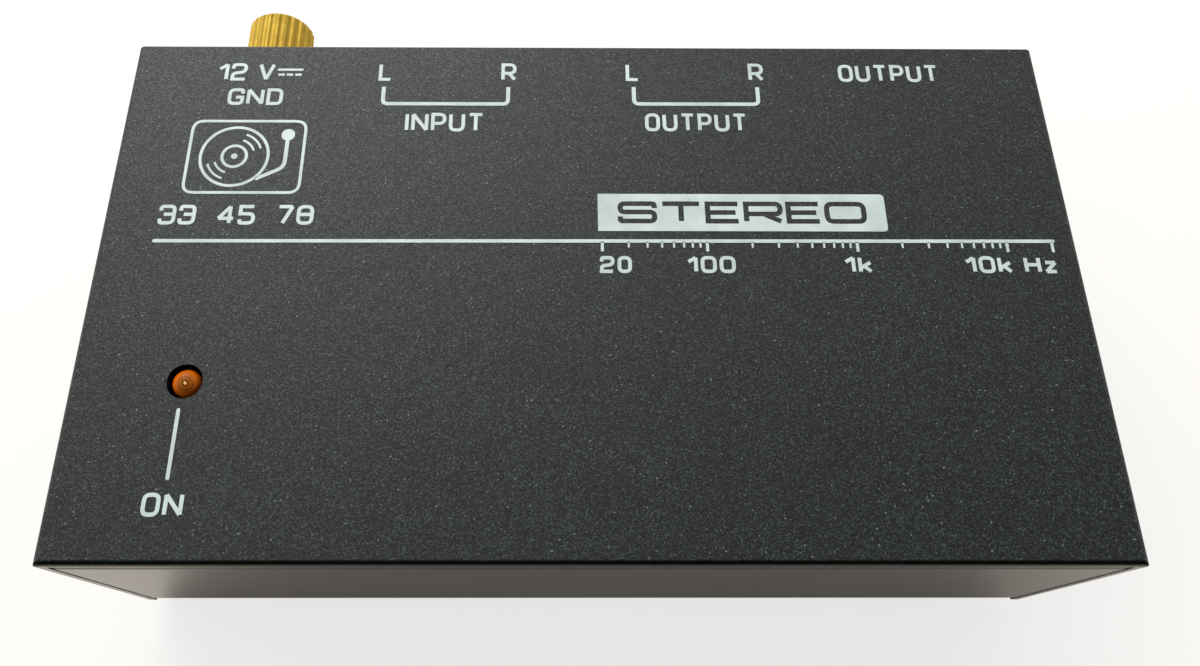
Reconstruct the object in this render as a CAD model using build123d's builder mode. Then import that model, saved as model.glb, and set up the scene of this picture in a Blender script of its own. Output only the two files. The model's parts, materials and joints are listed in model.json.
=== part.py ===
from build123d import *

import os

# A compact phono preamplifier as an assembly of separate pieces, in millimetres.
# A folded steel cover fits over a folded steel chassis. The chassis carries a circuit board on
# standoffs, and the sockets and the ground terminal come out through its rear panel.
# X runs left to right seen from the front, Y runs back towards the sockets, and Z is up.
# The origin is under the middle of the whole outline, on the surface that the feet stand on.

os.makedirs("parts", exist_ok=True)

# Case
case_width = 104.0
case_depth = 59.0
case_height = 28.0
cover_wall = 1.0
cover_bend = 0.7  # outer radius where the top turns down into the sides
cover_inner_bend = 0.3
cover_edge_round = 0.2  # softened outer edges at the cover's front and rear ends
cover_front_round = 0.6  # its top turns down more at the front edge
chassis_wall = 1.0
chassis_bend = 1.5  # outer radius of its folds
chassis_top_fold = 6.0  # the front panel is folded back under the cover by this much
seam = 0.3  # gap between the cover's top and the chassis panels
side_play = 0.1  # gap between each side of the cover and the chassis
front_recess = 0.05  # from the cover's front end to the front panel
rear_recess = 0.2  # from the cover's rear end to the rear panel

# Clearances
slip = 0.05  # radial, a piece that seats in another
free = 0.15  # radial, a piece that passes loosely through another
lead_play = 0.12  # radial, a lead in its board hole

# Feet
foot_height = 2.5
foot_radius = 5.0
foot_taper = 6.0  # degrees
foot_inset = 8.0  # from the case's edges to the foot's centre
foot_edge_round = 0.5

# Cover screws, two on each side, countersunk flush with the cover
cover_screw_radius = 1.25
cover_screw_length = 5.0
cover_screw_head_radius = 2.25
cover_screw_inset = 13.0  # from the case's ends
cover_screw_rise = 11.0  # above the case's underside
tab_width = 11.0
tab_over_screw = 4.0  # the tab reaches this far above the screw
tab_corner = 2.75

# Shares of a screw's head and shank
recess_span = 1.1  # cross recess, of the head's radius
recess_arm = 0.26
recess_depth = 0.7  # of the head's height
pan_round = 0.45
tip_taper = 0.3  # of the shank's radius

# Circuit board and its standoffs
board_gap = 2.0  # from the cover's inner side to the board's edge
board_thickness = 1.6
board_rear_gap = 0.5  # from the board's rear edge to the rear panel
board_front_gap = 5.25  # from the board's front edge to the front panel
board_corner = 1.5
standoff_height = 3.0
standoff_flats = 5.5
standoff_shank_radius = 2.4
board_screw_radius = 1.5
board_screw_length = 5.2
board_screw_head_radius = 2.75
board_screw_head_height = 1.7
board_screw_edge = 3.0  # from the board's side edge to the screw
board_screw_rear = 18.0  # from the board's rear edge to the rear screws
board_screw_front = 10.0  # from the board's front edge to the front screws
lead_radius = 0.3
lead_stub = 1.2  # a lead's length below the board

# Phono sockets, four in a row
phono_from_dc = 15.0  # from the DC socket's axis to the first phono socket's
phono_from_phone = 15.25  # from the phone socket's axis to the last phono socket's
phono_axis_rise = 6.7  # above the board
phono_reach = 8.0  # beyond the rear panel
phono_sleeve_radius = 4.15
phono_sleeve_bore = 3.55
phono_seat_radius = 3.9  # the sleeve is stepped down where it seats in the body
phono_sleeve_lip = 0.35  # chamfer round the mouth
phono_seat_depth = 3.0  # inside the rear panel
phono_boss_radius = 4.95
phono_boss_reach = 0.5  # beyond the rear panel
phono_body_width = 10.0
phono_body_depth = 10.5
phono_body_height = 12.2
phono_body_edge = 0.6
phono_insulator_recess = 0.8
phono_guide_radius = 1.85
phono_guide_length = 2.0
phono_contact_radius = 2.2
phono_contact_bore = 1.65
phono_contact_slot = 0.35
phono_contact_slit = 5.0  # length of the slots between its fingers
phono_back_wall = 2.5
phono_tail = 0.8
phono_tail_offset = 1.3  # from the contact's back to the middle of its tail
phono_tab_width = 2.4
phono_tab_thickness = 0.5
phono_tab_offset = 0.3  # from the sleeve's seat to its tab

# 6.35 mm phone socket
phone_side = 17.3  # from the case's right side to the socket's axis
phone_axis_rise = 8.0
phone_bore_radius = 3.25
phone_lead_in_length = 3.0
phone_inner_radius = 3.45
phone_thread_radius = 5.9
phone_flange_radius = 6.5
phone_flange_depth = 2.0
phone_reach = 3.2
phone_mouth_chamfer = 0.4
phone_washer_radius = 7.3
phone_washer_thickness = 0.6
phone_nut_flats = 14.0
phone_nut_thickness = 2.0
phone_body_width = 15.0
phone_body_depth = 28.5
phone_body_height = 16.0
phone_back_wall = 1.2
phone_body_edge = 0.6
leaf_thickness = 0.35
leaf_height = 2.6
leaf_anchor_depth = 6.0  # behind the rear panel
leaf_anchor_offset = 5.4  # from the socket's axis
leaf_contact_offset = 2.5  # from the axis to the contact point, with no plug in
leaf_run_offset = 4.5
tip_contact_depth = 22.2
ring_contact_depth = 16.5
leaf_dimple = 2.3  # half the length of the bent contact point
leaf_leg_width = 1.2
leaf_slot_offset = 6.5  # from the axis to the outer side of the leaf's slot
leaf_slot_front = 4.0  # depth behind the rear panel
leaf_slot_back = 26.0

# DC socket for a 5.5 mm barrel plug
dc_side = 14.0  # from the case's left side to the socket's axis
dc_axis_rise = 5.0
dc_body_width = 9.0
dc_body_depth = 14.0
dc_body_height = 9.4
dc_edge_round = 0.3
dc_nose_radius = 3.9
dc_nose_reach = 0.3
dc_bore_radius = 3.1
dc_bore_depth = 10.0  # behind the rear panel
dc_pin_radius = 1.05
dc_pin_recess = 1.0
dc_pin_round = 0.6
dc_pin_tail = 1.0
dc_spring_width = 2.4
dc_spring_thickness = 0.3
dc_spring_bite = 0.3  # how far the spring stands into the bore
dc_spring_drop = 0.8  # from the bore to the spring's straight run
dc_spring_travel = 0.5
dc_spring_root_depth = 11.0
dc_spring_contact_depth = 3.5
dc_spring_ramp = 1.9  # from the straight run to the contact point
dc_spring_tip = 1.7  # from the contact point to the spring's end

# Ground terminal, over the DC socket
stud_radius = 2.0
stud_tip_recess = 0.7  # the stud's tip lies this far inside the thumb nut's outer face
stud_head_radius = 3.5
stud_head_height = 2.2
star_washer_radius = 3.8
star_washer_thickness = 0.5
star_washer_teeth = 12
star_washer_notch = 0.5
lug_radius = 3.6
lug_thickness = 0.6
lug_tail_width = 3.0
lug_tail_length = 7.0
ground_lead_radius = 0.7
lead_bend_ratio = 4  # radius of the lead's bend over its own radius
ground_lead_hole_depth = 14.5  # from the rear panel to where the lead enters the board
lock_nut_flats = 7.0
lock_nut_thickness = 1.4
clamp_washer_radius = 3.75
clamp_washer_thickness = 0.6
thumb_nut_radius = 3.85
thumb_nut_length = 6.0
thumb_nut_chamfer = 0.45
thumb_nut_neck_radius = 2.7  # the washer turns on this neck
thumb_nut_neck_flare = 0.25  # its end is flared into the washer's countersink
thumb_nut_flutes = 24
thumb_nut_flute_radius = 0.45
thumb_nut_flute_depth = 0.2

# Lamp, a 3 mm light-emitting diode under a hole in the cover
lamp_side = 11.55  # from the case's left side to the lamp's axis
lamp_from_middle = 11.55  # in front of the case's middle
lamp_hole_radius = 1.8
lamp_radius = 1.5
lamp_dome_drop = 1.1  # from the cover's top to the foot of the dome
lamp_body_length = 3.8  # below the dome
lamp_flange_radius = 1.9
lamp_flange_thickness = 1.0
lamp_lead_size = 0.5
lamp_lead_pitch = 2.54
lamp_spacer_radius = 2.3

# Circuit components
part_gap = 1.7  # between neighbours along X
supply_side = 13.0  # from the board's left edge to the supply capacitor and the diode
choke_side = 8.4  # from the board's left edge
signal_side = 21.0  # from the board's left edge to the first film capacitor
chip_length, chip_width, chip_height = 9.8, 6.4, 3.3
chip_edge = 0.3
chip_notch_radius, chip_notch_depth = 0.8, 0.6
chip_rise = 0.4
chip_leg_pitch = 2.54
chip_leg_row = 7.62
chip_leg_width = 0.5
chip_leg_thickness = 0.25
chip_legs_a_side = 4
supply_can_radius, supply_can_height = 5.0, 12.5
bypass_can_radius, bypass_can_height = 3.15, 11.0
coupling_can_radius, coupling_can_height = 2.5, 7.0
coupling_can_count = 6
can_edge_round = 0.4
can_groove_radius = 0.35
can_groove_rise = 1.4
can_score_width, can_score_depth = 0.25, 0.2  # the vent score pressed into the top
can_score_margin = 1.2
can_lead_share = 0.4  # of the can's radius, from its axis to a lead
film_length, film_width, film_height = 7.2, 3.5, 7.5
film_count = 6
film_edge_round = 0.4
film_lead_pitch = 5.0
resistor_radius, resistor_length, resistor_waist = 1.15, 6.3, 1.0
resistor_pitch = 3.0
centre_resistors, beside_chip_resistors, front_resistors = 4, 2, 4  # rows across the board
upright_resistors = 2  # beside the phone socket, along the board
axial_cap_length, axial_cap_slope = 1.3, 0.4
axial_lead_pitch = 10.16
axial_rise = 0.15  # from the board to an axial part's body
diode_radius, diode_length = 1.35, 5.2
choke_radius, choke_height = 4.0, 7.0
choke_edge_round = 0.3
choke_lead_pitch = 5.0
regulator_radius, regulator_height = 2.3, 4.8
regulator_rise = 2.5
regulator_leg_pitch = 1.27
regulator_leg_size = 0.4

# Planes and places
lock_stack = lock_nut_thickness + clamp_washer_thickness
ground_reach = lock_stack + thumb_nut_length
rear_reach = max(ground_reach, phono_reach, phone_reach) - rear_recess
front_y = -(case_depth + rear_reach) / 2
rear_y = front_y + case_depth
middle_y = (front_y + rear_y) / 2

base_z = foot_height
top_z = base_z + case_height
floor_z = base_z + chassis_wall
panel_top_z = top_z - cover_wall - seam
inner_width = case_width - 2 * cover_wall
panel_width = inner_width - 2 * side_play
panel_front_y = front_y + front_recess
panel_out_y = rear_y - rear_recess
panel_in_y = panel_out_y - chassis_wall

board_under_z = floor_z + standoff_height
board_z = board_under_z + board_thickness
board_width = inner_width - 2 * board_gap
board_rear_y = panel_in_y - board_rear_gap
board_front_y = panel_front_y + chassis_wall + board_front_gap
board_depth = board_rear_y - board_front_y
stub_z = board_under_z - lead_stub

phono_z = board_z + phono_axis_rise
phone_z = board_z + phone_axis_rise
dc_z = board_z + dc_axis_rise
ceiling_z = top_z - cover_wall
ground_z = (board_z + dc_body_height + ceiling_z) / 2  # midway over the DC socket

phone_x = case_width / 2 - phone_side
dc_x = -case_width / 2 + dc_side
ground_x = dc_x
lamp_x = -case_width / 2 + lamp_side
lamp_y = middle_y - lamp_from_middle

cover_screw_z = base_z + cover_screw_rise
cover_screw_places = [front_y + cover_screw_inset, rear_y - cover_screw_inset]
cover_screw_seats = [
    Plane((side * case_width / 2, y, cover_screw_z), z_dir=(side, 0, 0))
    for side in (-1, 1)
    for y in cover_screw_places
]
board_screw_x = board_width / 2 - board_screw_edge
board_screw_places = [
    (side * board_screw_x, y)
    for side in (-1, 1)
    for y in (board_rear_y - board_screw_rear, board_front_y + board_screw_front)
]


def facing_back(x, y, z):
    """A plane across the Y axis, with its normal pointing out of the rear panel."""
    return Plane(origin=(x, y, z), x_dir=(1, 0, 0), z_dir=(0, 1, 0))


def spread(first, last, count):
    """Evenly spaced places from the first to the last."""
    return [first + (last - first) * i / (count - 1) for i in range(count)]


def rows_between(start, end, depths):
    """The middles of rows with the given depths, with equal gaps from start to end."""
    gap = (end - start - sum(depths)) / (len(depths) + 1)
    middles = []
    for depth in depths:
        middles.append(start + gap + depth / 2)
        start += gap + depth
    return middles


def on_board(spot):
    """A spot, given as X and a distance forward from the board's rear edge, as X and Y."""
    return spot[0], board_rear_y - spot[1]


def pair(spot, pitch):
    """Two lead places a pitch apart along X, either side of a spot on the board."""
    x, y = on_board(spot)
    return [(x - pitch / 2, y), (x + pitch / 2, y)]


def resistor_column(x, first_row, count):
    """Places of resistors that lie side by side, one behind the other, as distances from the rear."""
    return [(x, first_row + i * resistor_pitch) for i in range(count)]


def flat_screw(radius, length, head_radius):
    """A cross-recessed countersunk screw, its head's face at the origin and its shank down."""
    head_depth = head_radius - radius
    with BuildPart() as screw:
        with BuildSketch(Plane.XZ):
            with BuildLine():
                Polyline(
                    (0, 0),
                    (head_radius, 0),
                    (radius, -head_depth),
                    (radius, -length + radius / 2),
                    (radius / 2, -length),
                    (0, -length),
                    close=True,
                )
            make_face()
        revolve(axis=Axis.Z)
        with BuildSketch():
            Rectangle(head_radius * recess_span, head_radius * recess_arm)
            Rectangle(head_radius * recess_arm, head_radius * recess_span)
        extrude(amount=-head_depth * recess_depth, mode=Mode.SUBTRACT)
    return screw.part


def pan_screw(radius, length, head_radius, head_height):
    """A cross-recessed pan-head screw, its head's seat at the origin and its shank pointing down."""
    with BuildPart() as screw:
        with BuildSketch():
            Circle(head_radius)
        extrude(amount=head_height)
        fillet(screw.edges().group_by(Axis.Z)[-1], head_height * pan_round)
        with BuildSketch():
            Circle(radius)
        extrude(amount=-length)
        chamfer(screw.edges().group_by(Axis.Z)[0], radius * tip_taper)
        with BuildSketch(Plane.XY.offset(head_height)):
            Rectangle(head_radius * recess_span, head_radius * recess_arm)
            Rectangle(head_radius * recess_arm, head_radius * recess_span)
        extrude(amount=-head_height * recess_depth, mode=Mode.SUBTRACT)
    return screw.part


# Sockets along the rear panel, and where each component stands on the board
phono_names = ("input_left", "input_right", "output_left", "output_right")
phono_places = spread(dc_x + phono_from_dc, phone_x - phono_from_phone, len(phono_names))
board_left_x = -board_width / 2
phone_left_x = phone_x - phone_body_width / 2

row_depths = (
    2 * bypass_can_radius,
    chip_leg_row,
    2 * resistor_radius,
    film_width,
    2 * coupling_can_radius,
)
bypass_row, chip_row, feedback_row, film_row, coupling_row = rows_between(
    phono_body_depth - board_rear_gap, board_depth, row_depths
)
lamp_row = board_rear_y - lamp_y
supply_row, choke_row = rows_between(
    dc_body_depth - board_rear_gap,
    lamp_row - lamp_spacer_radius,
    (2 * supply_can_radius, 2 * choke_radius),
)

chip_spots = {
    "left": ((phono_places[0] + phono_places[1]) / 2, chip_row),
    "right": ((phono_places[2] + phono_places[3]) / 2, chip_row),
}
supply_x = board_left_x + supply_side
supply_can_spot = (supply_x, supply_row)
diode_spot = (supply_x, coupling_row)
choke_spot = (board_left_x + choke_side, choke_row)
regulator_spot = (supply_x + supply_can_radius + part_gap + regulator_radius, supply_row)

signal_left_x = board_left_x + signal_side
bypass_can_spots = [(x, bypass_row) for x in phono_places]
coupling_first_x = signal_left_x + coupling_can_radius
coupling_last_x = phone_left_x - coupling_can_radius
coupling_can_spots = [
    (x, coupling_row) for x in spread(coupling_first_x, coupling_last_x, coupling_can_count)
]
film_first_x = signal_left_x + film_length / 2
film_last_x = phone_left_x - film_length / 2
film_spots = [(x, film_row) for x in spread(film_first_x, film_last_x, film_count)]

centre_x = (chip_spots["left"][0] + chip_spots["right"][0]) / 2
beside_chip_x = chip_spots["left"][0] - (chip_length + axial_lead_pitch) / 2 - part_gap
beside_phone_x = phone_left_x - part_gap - resistor_radius
front_resistor_row = phone_body_depth + part_gap
first_centre_row = chip_row - (centre_resistors - 1) / 2 * resistor_pitch
resistors_across = [(x, feedback_row) for x, _ in chip_spots.values()]
resistors_across += resistor_column(centre_x, first_centre_row, centre_resistors)
resistors_across += resistor_column(beside_chip_x, chip_row + resistor_pitch, beside_chip_resistors)
resistors_across += resistor_column(phone_x, front_resistor_row, front_resistors)
resistors_along = [(beside_phone_x - i * resistor_pitch, chip_row) for i in range(upright_resistors)]


# Cover
with BuildPart() as top_cover:
    with BuildSketch(Plane.XZ.offset(-rear_y)) as outer_profile:
        with Locations((0, top_z)):
            Rectangle(case_width, case_height, align=(Align.CENTER, Align.MAX))
        fillet(outer_profile.vertices().group_by(Axis.Y)[-1], cover_bend)
    extrude(amount=case_depth)
    for end in (0, -1):
        outline = top_cover.edges().group_by(Axis.Y)[end].sort_by(Axis.Z)[1:]
        fillet(outline, cover_edge_round)
    with BuildSketch(Plane.YZ.offset(-case_width / 2)) as side_profile:
        with Locations((front_y, top_z)):
            Rectangle(case_depth, case_height, align=(Align.MIN, Align.MAX))
        front_corner = side_profile.vertices().group_by(Axis.Y)[-1].sort_by(Axis.X)[0]
        fillet(front_corner, cover_front_round)
    extrude(amount=case_width, mode=Mode.INTERSECT)
    with BuildSketch(Plane.XZ.offset(-rear_y)) as inner_profile:
        with Locations((0, ceiling_z)):
            Rectangle(inner_width, case_height, align=(Align.CENTER, Align.MAX))
        fillet(inner_profile.vertices().group_by(Axis.Y)[-1], cover_inner_bend)
    extrude(amount=case_depth, mode=Mode.SUBTRACT)
    with Locations((lamp_x, lamp_y, top_z)):
        Hole(lamp_hole_radius, depth=2 * cover_wall)
    with Locations(*cover_screw_seats):
        CounterSinkHole(
            cover_screw_radius + slip,
            cover_screw_head_radius + slip,
            depth=2 * cover_wall,
            counter_sink_angle=90,
        )

top_cover.part.label = "top_cover"
export_step(top_cover.part, "parts/top_cover.step")

# Chassis
with BuildPart() as chassis:
    with BuildSketch(Plane.YZ.offset(-panel_width / 2)):
        with BuildLine():
            FilletPolyline(
                (panel_front_y + chassis_top_fold, panel_top_z),
                (panel_front_y, panel_top_z),
                (panel_front_y, base_z),
                (panel_out_y, base_z),
                (panel_out_y, panel_top_z),
                radius=chassis_bend,
            )
            offset(amount=chassis_wall, side=Side.LEFT)
        make_face()
    extrude(amount=panel_width)
    for side in (-1, 1):
        for y in cover_screw_places:
            with BuildSketch(Plane.YZ.offset(side * inner_width / 2)) as tab:
                with Locations((y, base_z)):
                    Rectangle(
                        tab_width,
                        cover_screw_rise + tab_over_screw,
                        align=(Align.CENTER, Align.MIN),
                    )
                fillet(tab.vertices().group_by(Axis.Y)[-1], tab_corner)
            extrude(amount=-side * chassis_wall)
    with Locations(*cover_screw_seats):
        Hole(cover_screw_radius + slip, depth=cover_screw_length)
    with Locations(*[(x, y, floor_z) for x, y in board_screw_places]):
        Hole(standoff_shank_radius + slip, depth=2 * chassis_wall)
    with Locations(*[facing_back(x, panel_out_y, phono_z) for x in phono_places]):
        Hole(phono_boss_radius + free, depth=2 * chassis_wall)
    with Locations(facing_back(phone_x, panel_out_y, phone_z)):
        Hole(phone_thread_radius + free, depth=2 * chassis_wall)
    with Locations(facing_back(dc_x, panel_out_y, dc_z)):
        Hole(dc_nose_radius + free, depth=2 * chassis_wall)
    with Locations(facing_back(ground_x, panel_out_y, ground_z)):
        Hole(stud_radius + free, depth=2 * chassis_wall)

chassis.part.label = "chassis"
export_step(chassis.part, "parts/chassis.step")

# Feet
foot_x = case_width / 2 - foot_inset
foot_places = {
    "front_left": (-foot_x, front_y + foot_inset),
    "front_right": (foot_x, front_y + foot_inset),
    "rear_left": (-foot_x, rear_y - foot_inset),
    "rear_right": (foot_x, rear_y - foot_inset),
}
for name, (x, y) in foot_places.items():
    with BuildPart() as foot:
        with BuildSketch(Plane.XY.offset(foot_height)):
            with Locations((x, y)):
                Circle(foot_radius)
        extrude(amount=-foot_height, taper=foot_taper)
        fillet(foot.edges().group_by(Axis.Z)[0], foot_edge_round)
    foot.part.label = f"foot_{name}"
    export_step(foot.part, f"parts/foot_{name}.step")

# Cover screws
cover_screw = flat_screw(cover_screw_radius, cover_screw_length, cover_screw_head_radius)
with BuildPart() as cover_screws:
    with Locations(*cover_screw_seats):
        add(cover_screw)

cover_screws.part.label = "cover_screws"
export_step(cover_screws.part, "parts/cover_screws.step")

# Board standoffs and screws
with BuildPart() as board_standoffs:
    with BuildSketch(Plane.XY.offset(floor_z)):
        with Locations(*board_screw_places):
            RegularPolygon(standoff_flats / 2, 6, major_radius=False)
    extrude(amount=standoff_height)
    with BuildSketch(Plane.XY.offset(floor_z)):
        with Locations(*board_screw_places):
            Circle(standoff_shank_radius)
    extrude(amount=-chassis_wall)
    with Locations(*[(x, y, board_under_z) for x, y in board_screw_places]):
        Hole(board_screw_radius + slip, depth=standoff_height + chassis_wall)

board_standoffs.part.label = "board_standoffs"
export_step(board_standoffs.part, "parts/board_standoffs.step")

board_screw = pan_screw(
    board_screw_radius, board_screw_length, board_screw_head_radius, board_screw_head_height
)
with BuildPart() as board_screws:
    with Locations(*[(x, y, board_z) for x, y in board_screw_places]):
        add(board_screw)

board_screws.part.label = "board_screws"
export_step(board_screws.part, "parts/board_screws.step")

# Lead places on the board
can_sizes = {
    "supply_capacitor": (supply_can_radius, supply_can_height, [supply_can_spot]),
    "bypass_capacitors": (bypass_can_radius, bypass_can_height, bypass_can_spots),
    "coupling_capacitors": (coupling_can_radius, coupling_can_height, coupling_can_spots),
}
lead_places = pair(choke_spot, choke_lead_pitch)
for can_radius, _, spots in can_sizes.values():
    for spot in spots:
        lead_places += pair(spot, 2 * can_radius * can_lead_share)
for spot in film_spots:
    lead_places += pair(spot, film_lead_pitch)
for spot in resistors_across + [diode_spot]:
    lead_places += pair(spot, axial_lead_pitch)
for spot in resistors_along:
    x, y = on_board(spot)
    lead_places += [(x, y - axial_lead_pitch / 2), (x, y + axial_lead_pitch / 2)]

chip_leg_steps = [
    (i - (chip_legs_a_side - 1) / 2) * chip_leg_pitch for i in range(chip_legs_a_side)
]
chip_leg_places = []
for x, row in chip_spots.values():
    for step in chip_leg_steps:
        for side in (-1, 1):
            chip_leg_places.append(on_board((x + step, row + side * chip_leg_row / 2)))

regulator_x, regulator_y = on_board(regulator_spot)
regulator_legs = [(regulator_x + i * regulator_leg_pitch, regulator_y) for i in (-1, 0, 1)]
lamp_legs = [(lamp_x - lamp_lead_pitch / 2, lamp_y), (lamp_x + lamp_lead_pitch / 2, lamp_y)]

phono_seat_y = panel_in_y - phono_seat_depth
phono_back_y = panel_in_y - phono_body_depth
phono_contact_back_y = phono_back_y + phono_back_wall
phono_tail_y = phono_contact_back_y - phono_tail_offset
phono_tab_y = phono_seat_y + phono_tab_offset + phono_tab_thickness / 2
leaf_anchor_y = panel_in_y - leaf_anchor_depth
phone_tab_y = panel_in_y - phone_flange_depth - leaf_thickness / 2
dc_root_y = panel_in_y - dc_spring_root_depth
dc_pin_tail_y = panel_in_y - dc_body_depth + dc_pin_tail
ground_lead_y = panel_in_y - ground_lead_hole_depth
ground_lead_x = ground_x + lug_tail_length

# Circuit board
with BuildPart() as circuit_board:
    with BuildSketch(Plane.XY.offset(board_under_z)):
        with Locations((0, (board_rear_y + board_front_y) / 2)):
            RectangleRounded(board_width, board_depth, board_corner)
        with Locations(*board_screw_places):
            Circle(board_screw_radius + slip, mode=Mode.SUBTRACT)
        with Locations(*lead_places):
            Circle(lead_radius + lead_play, mode=Mode.SUBTRACT)
        with Locations(*chip_leg_places):
            Circle(chip_leg_width / 2 + free, mode=Mode.SUBTRACT)
        with Locations(*regulator_legs, *lamp_legs):
            Circle(lamp_lead_size / 2 + free, mode=Mode.SUBTRACT)
        with Locations(*[(x, phono_tail_y) for x in phono_places]):
            Circle(phono_tail / 2 + 2 * free, mode=Mode.SUBTRACT)
        with Locations(*[(x, phono_tab_y) for x in phono_places]):
            Rectangle(
                phono_tab_width + 2 * free, phono_tab_thickness + 2 * free, mode=Mode.SUBTRACT
            )
        with Locations(*[(phone_x + side * leaf_anchor_offset, leaf_anchor_y) for side in (-1, 1)]):
            Rectangle(leaf_thickness + 2 * free, leaf_leg_width + 2 * free, mode=Mode.SUBTRACT)
        with Locations((phone_x, phone_tab_y)):
            Rectangle(leaf_height + 2 * free, leaf_thickness + 2 * free, mode=Mode.SUBTRACT)
        with Locations((dc_x, dc_root_y)):
            Rectangle(
                dc_spring_width + 2 * free, dc_spring_thickness + 2 * free, mode=Mode.SUBTRACT
            )
        with Locations((dc_x, dc_pin_tail_y)):
            Rectangle(dc_pin_tail + 2 * free, dc_pin_tail + 2 * free, mode=Mode.SUBTRACT)
        with Locations((ground_lead_x, ground_lead_y)):
            Circle(ground_lead_radius + lead_play, mode=Mode.SUBTRACT)
    extrude(amount=board_thickness)

circuit_board.part.label = "circuit_board"
export_step(circuit_board.part, "parts/circuit_board.step")

# Phono sockets
phono_mouth_y = panel_out_y + phono_reach
phono_boss_y = panel_out_y + phono_boss_reach
phono_insulator_y = phono_mouth_y - phono_insulator_recess
phono_contact_y = phono_insulator_y - phono_guide_length

for name, x in zip(phono_names, phono_places):
    with BuildPart() as phono_body:
        with BuildSketch(Plane.XY.offset(board_z)):
            with Locations((x, (panel_in_y + phono_back_y) / 2)):
                Rectangle(phono_body_width, phono_body_depth)
        extrude(amount=phono_body_height)
        chamfer(phono_body.edges().filter_by(Axis.Y).group_by(Axis.Z)[-1], phono_body_edge)
        with BuildSketch(facing_back(x, panel_in_y, phono_z)):
            Circle(phono_boss_radius)
        extrude(amount=phono_boss_y - panel_in_y)
        with Locations(facing_back(x, phono_boss_y, phono_z)):
            Hole(phono_seat_radius + slip, depth=phono_boss_y - phono_seat_y)
            Hole(phono_contact_radius + slip, depth=phono_boss_y - phono_contact_back_y)
        with BuildSketch(facing_back(x, phono_back_y, phono_z)):
            with Locations((0, phono_axis_rise / 2)):
                Rectangle(phono_tail + 2 * free, phono_axis_rise + phono_tail + 2 * free)
        extrude(amount=phono_back_wall, mode=Mode.SUBTRACT)
        with BuildSketch(Plane.XY.offset(board_z)):
            with Locations((x, phono_tab_y)):
                Rectangle(phono_tab_width + 2 * free, phono_tab_thickness + 2 * free)
        extrude(amount=phono_axis_rise, mode=Mode.SUBTRACT)
    phono_body.part.label = f"{name}_body"
    export_step(phono_body.part, f"parts/{name}_body.step")

    with BuildPart() as phono_sleeve:
        with BuildSketch(facing_back(x, phono_seat_y, phono_z)):
            Circle(phono_seat_radius)
            Circle(phono_sleeve_bore, mode=Mode.SUBTRACT)
        extrude(amount=phono_boss_y - phono_seat_y)
        with BuildSketch(facing_back(x, phono_boss_y, phono_z)):
            Circle(phono_sleeve_radius)
            Circle(phono_sleeve_bore, mode=Mode.SUBTRACT)
        extrude(amount=phono_mouth_y - phono_boss_y)
        rim = phono_sleeve.edges().filter_by(GeomType.CIRCLE).group_by(Axis.Y)[-1]
        chamfer(rim.sort_by(SortBy.RADIUS)[-1], phono_sleeve_lip)
        with BuildSketch(Plane.XY.offset(stub_z)):
            with Locations((x, phono_tab_y)):
                Rectangle(phono_tab_width, phono_tab_thickness)
        extrude(amount=phono_z - (phono_seat_radius + phono_sleeve_bore) / 2 - stub_z)
    phono_sleeve.part.label = f"{name}_sleeve"
    export_step(phono_sleeve.part, f"parts/{name}_sleeve.step")

    with BuildPart() as phono_insulator:
        with BuildSketch(facing_back(x, phono_seat_y, phono_z)):
            Circle(phono_sleeve_bore - slip)
            Circle(phono_guide_radius, mode=Mode.SUBTRACT)
        extrude(amount=phono_insulator_y - phono_seat_y)
        with BuildSketch(facing_back(x, phono_seat_y, phono_z)):
            Circle(phono_contact_radius + slip)
        extrude(amount=phono_contact_y - phono_seat_y, mode=Mode.SUBTRACT)
    phono_insulator.part.label = f"{name}_insulator"
    export_step(phono_insulator.part, f"parts/{name}_insulator.step")

    with BuildPart() as phono_contact:
        with BuildSketch(facing_back(x, phono_contact_back_y, phono_z)):
            Circle(phono_contact_radius)
        extrude(amount=phono_contact_y - phono_contact_back_y)
        with Locations(facing_back(x, phono_contact_y, phono_z)):
            Hole(phono_contact_bore, depth=phono_contact_y - phono_contact_back_y - phono_tail)
        with BuildSketch(facing_back(x, phono_contact_y, phono_z)):
            Rectangle(2 * phono_contact_radius, phono_contact_slot)
            Rectangle(phono_contact_slot, 2 * phono_contact_radius)
        extrude(amount=-phono_contact_slit, mode=Mode.SUBTRACT)
        with BuildSketch(facing_back(x, phono_tail_y - phono_tail / 2, phono_z)):
            Rectangle(phono_tail, phono_tail)
        extrude(amount=phono_contact_back_y - phono_tail_y + phono_tail / 2)
        with BuildSketch(Plane.XY.offset(stub_z)):
            with Locations((x, phono_tail_y)):
                Rectangle(phono_tail, phono_tail)
        extrude(amount=phono_z - stub_z)
    phono_contact.part.label = f"{name}_contact"
    export_step(phono_contact.part, f"parts/{name}_contact.step")

# 6.35 mm phone socket
phone_mouth_y = panel_out_y + phone_reach
phone_flange_y = panel_in_y - phone_flange_depth
phone_back_y = panel_in_y - phone_body_depth
phone_lead_in_y = phone_mouth_y - phone_lead_in_length

with BuildPart() as phone_bushing:
    with BuildSketch(facing_back(phone_x, phone_flange_y, phone_z)):
        Circle(phone_flange_radius)
    extrude(amount=phone_flange_depth)
    with BuildSketch(facing_back(phone_x, panel_in_y, phone_z)):
        Circle(phone_thread_radius)
    extrude(amount=phone_mouth_y - panel_in_y)
    with BuildSketch(facing_back(phone_x, phone_flange_y, phone_z)):
        Circle(phone_inner_radius)
    extrude(amount=phone_lead_in_y - phone_flange_y, mode=Mode.SUBTRACT)
    with BuildSketch(facing_back(phone_x, phone_lead_in_y, phone_z)):
        Circle(phone_bore_radius)
    extrude(amount=phone_lead_in_length, mode=Mode.SUBTRACT)
    rims = phone_bushing.edges().filter_by(GeomType.CIRCLE).group_by(Axis.Y)[-1]
    chamfer(rims, phone_mouth_chamfer)

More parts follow.
